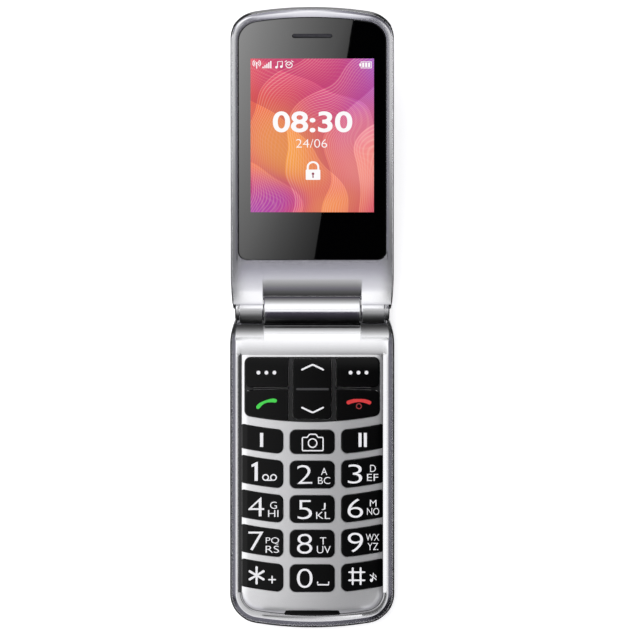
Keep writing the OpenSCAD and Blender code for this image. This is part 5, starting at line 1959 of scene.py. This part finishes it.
# %% Dark skirt on the floor
SKIRT, _, _ = glowing("dark_skirt", 0.03)
FAR_SKIRT, _, _ = glowing("far_skirt", 0.3)
NEAR, FAR, LOW, HIGH, SKIRT_Z = 28.0, 320.0, -53.0, 152.0, 0.3
for number, sides in enumerate(((-FAR, -NEAR, -FAR, FAR), (NEAR, FAR, -FAR, FAR),
                                (-NEAR, NEAR, -FAR, LOW), (-NEAR, NEAR, HIGH, FAR))):
    card("skirt_" + str(number), rectangle(*sides, SKIRT_Z), FAR_SKIRT if sides[2] == HIGH else SKIRT)
print("skirt laid in", number + 1, "pieces")

# %% [markdown]
# ## The card that the window mirrors
#
# The window mirrors a pale card with a slanting edge, so that its left part shines and
# its right part stays black. The place of that card is found by mirroring sight lines in
# the window: each line from the lens to a point of the glass goes on to the card's plane.

# %% Pale card
CARD_AWAY = 3.0
CARD_X, CARD_LOW, CARD_HIGH = 25.5, 12.0, 107.0
SLANT_FOOT, SLANT_TOP = (-0.2, CARD_LOW), (14.3, CARD_HIGH)
PALE_GAIN = 5.8
normal = Vector((0, -math.sin(TILT), math.cos(TILT)))
eye = Vector(camera.location)
middle = Vector(in_lid([[0, 58, WINDOW_Z]])[0])
sight = (middle - eye).normalized()
mirrored = sight - 2 * sight.dot(normal) * normal


def mirror_to_card(x, y, away):
    """Where the sight line through a window point meets the card's plane."""
    point = Vector(in_lid([[x, y, WINDOW_Z]])[0])
    ray = (point - eye).normalized()
    ray = ray - 2 * ray.dot(normal) * normal
    centre = middle + mirrored * away
    return point + ray * ((centre - point).dot(mirrored) / ray.dot(mirrored))


def lay_uv(piece):
    """Gives a card of one face its UV map, corner by corner."""
    layer = piece.data.uv_layers.new(name="UVMap")
    for loop, corner_uv in zip(piece.data.loops, ((0, 0), (1, 0), (1, 1), (0, 1))):
        layer.data[loop.index].uv = corner_uv


pale_corners = [mirror_to_card(*p, CARD_AWAY) for p in
                ((-CARD_X, CARD_LOW), SLANT_FOOT, SLANT_TOP, (-CARD_X, CARD_HIGH))]
PALE, tree, glow = glowing("pale_card", 1.0)
uv = place_parts(tree, "UV")
sideways = ramp_of(tree, uv["X"], [(0.0, 1.0), (0.25, 0.73), (0.5, 0.5), (0.75, 0.33), (1.0, 0.2)])
upward = mapped(tree, uv["Y"], 0.0, 1.0, 0.37, 1.08)
tree.links.new(math_node(tree, "MULTIPLY", math_node(tree, "MULTIPLY", sideways, upward), PALE_GAIN),
               glow.inputs["Strength"])
lay_uv(card("pale_card", pale_corners, PALE))
print("card for the window:", [tuple(round(v, 2) for v in c) for c in pale_corners])

# %% [markdown]
# ## Cards that the display half's rim mirrors
#
# A narrow strip stands off each side of the display half, level with its face. Its glow
# grows from the hinge to the free end.

# %% Cards for the rim of the display half
RIM_AWAY = 30.0
RIM_NEAR, RIM_FAR = 23.85, 34.0
RIM_STEPS = [(14.5, 0.215), (24, 0.22), (30.9, 0.27), (37.7, 0.34), (48, 0.45), (58.3, 0.62),
             (68.6, 0.70), (78.9, 0.75), (89.1, 0.82), (108, 0.85)]
RIM_GLOW, tree, glow = glowing("rim_card", 1.0)
first, last = RIM_STEPS[0][0], RIM_STEPS[-1][0]
tree.links.new(ramp_of(tree, place_parts(tree, "UV")["Y"],
                       [((y - first) / (last - first), v) for y, v in RIM_STEPS]),
               glow.inputs["Strength"])
away = np.array([0, -RIM_AWAY * math.sin(TILT), LID_FACE + RIM_AWAY * math.cos(TILT)])
for name, x0, x1 in (("rim_card_left", -RIM_FAR, -RIM_NEAR), ("rim_card_right", RIM_NEAR, RIM_FAR)):
    corners = np.array([(x0, first, 0), (x1, first, 0), (x1, last, 0), (x0, last, 0)])
    lay_uv(card(name, in_lid(corners + away), RIM_GLOW))
print("cards for the rim stand off by", RIM_AWAY, "mm")

# %% [markdown]
# ## A black card behind the pale one
#
# It covers the whole of what the window mirrors, and keeps the part beside the slanting
# edge black.

# %% Dark card
DARK, _, _ = glowing("dark_card", 0.0)
card("dark_card", [mirror_to_card(*p, CARD_AWAY * 1.01) for p in
                   ((-CARD_X, CARD_LOW), (CARD_X, CARD_LOW), (CARD_X, CARD_HIGH),
                    (-CARD_X, CARD_HIGH))], DARK)
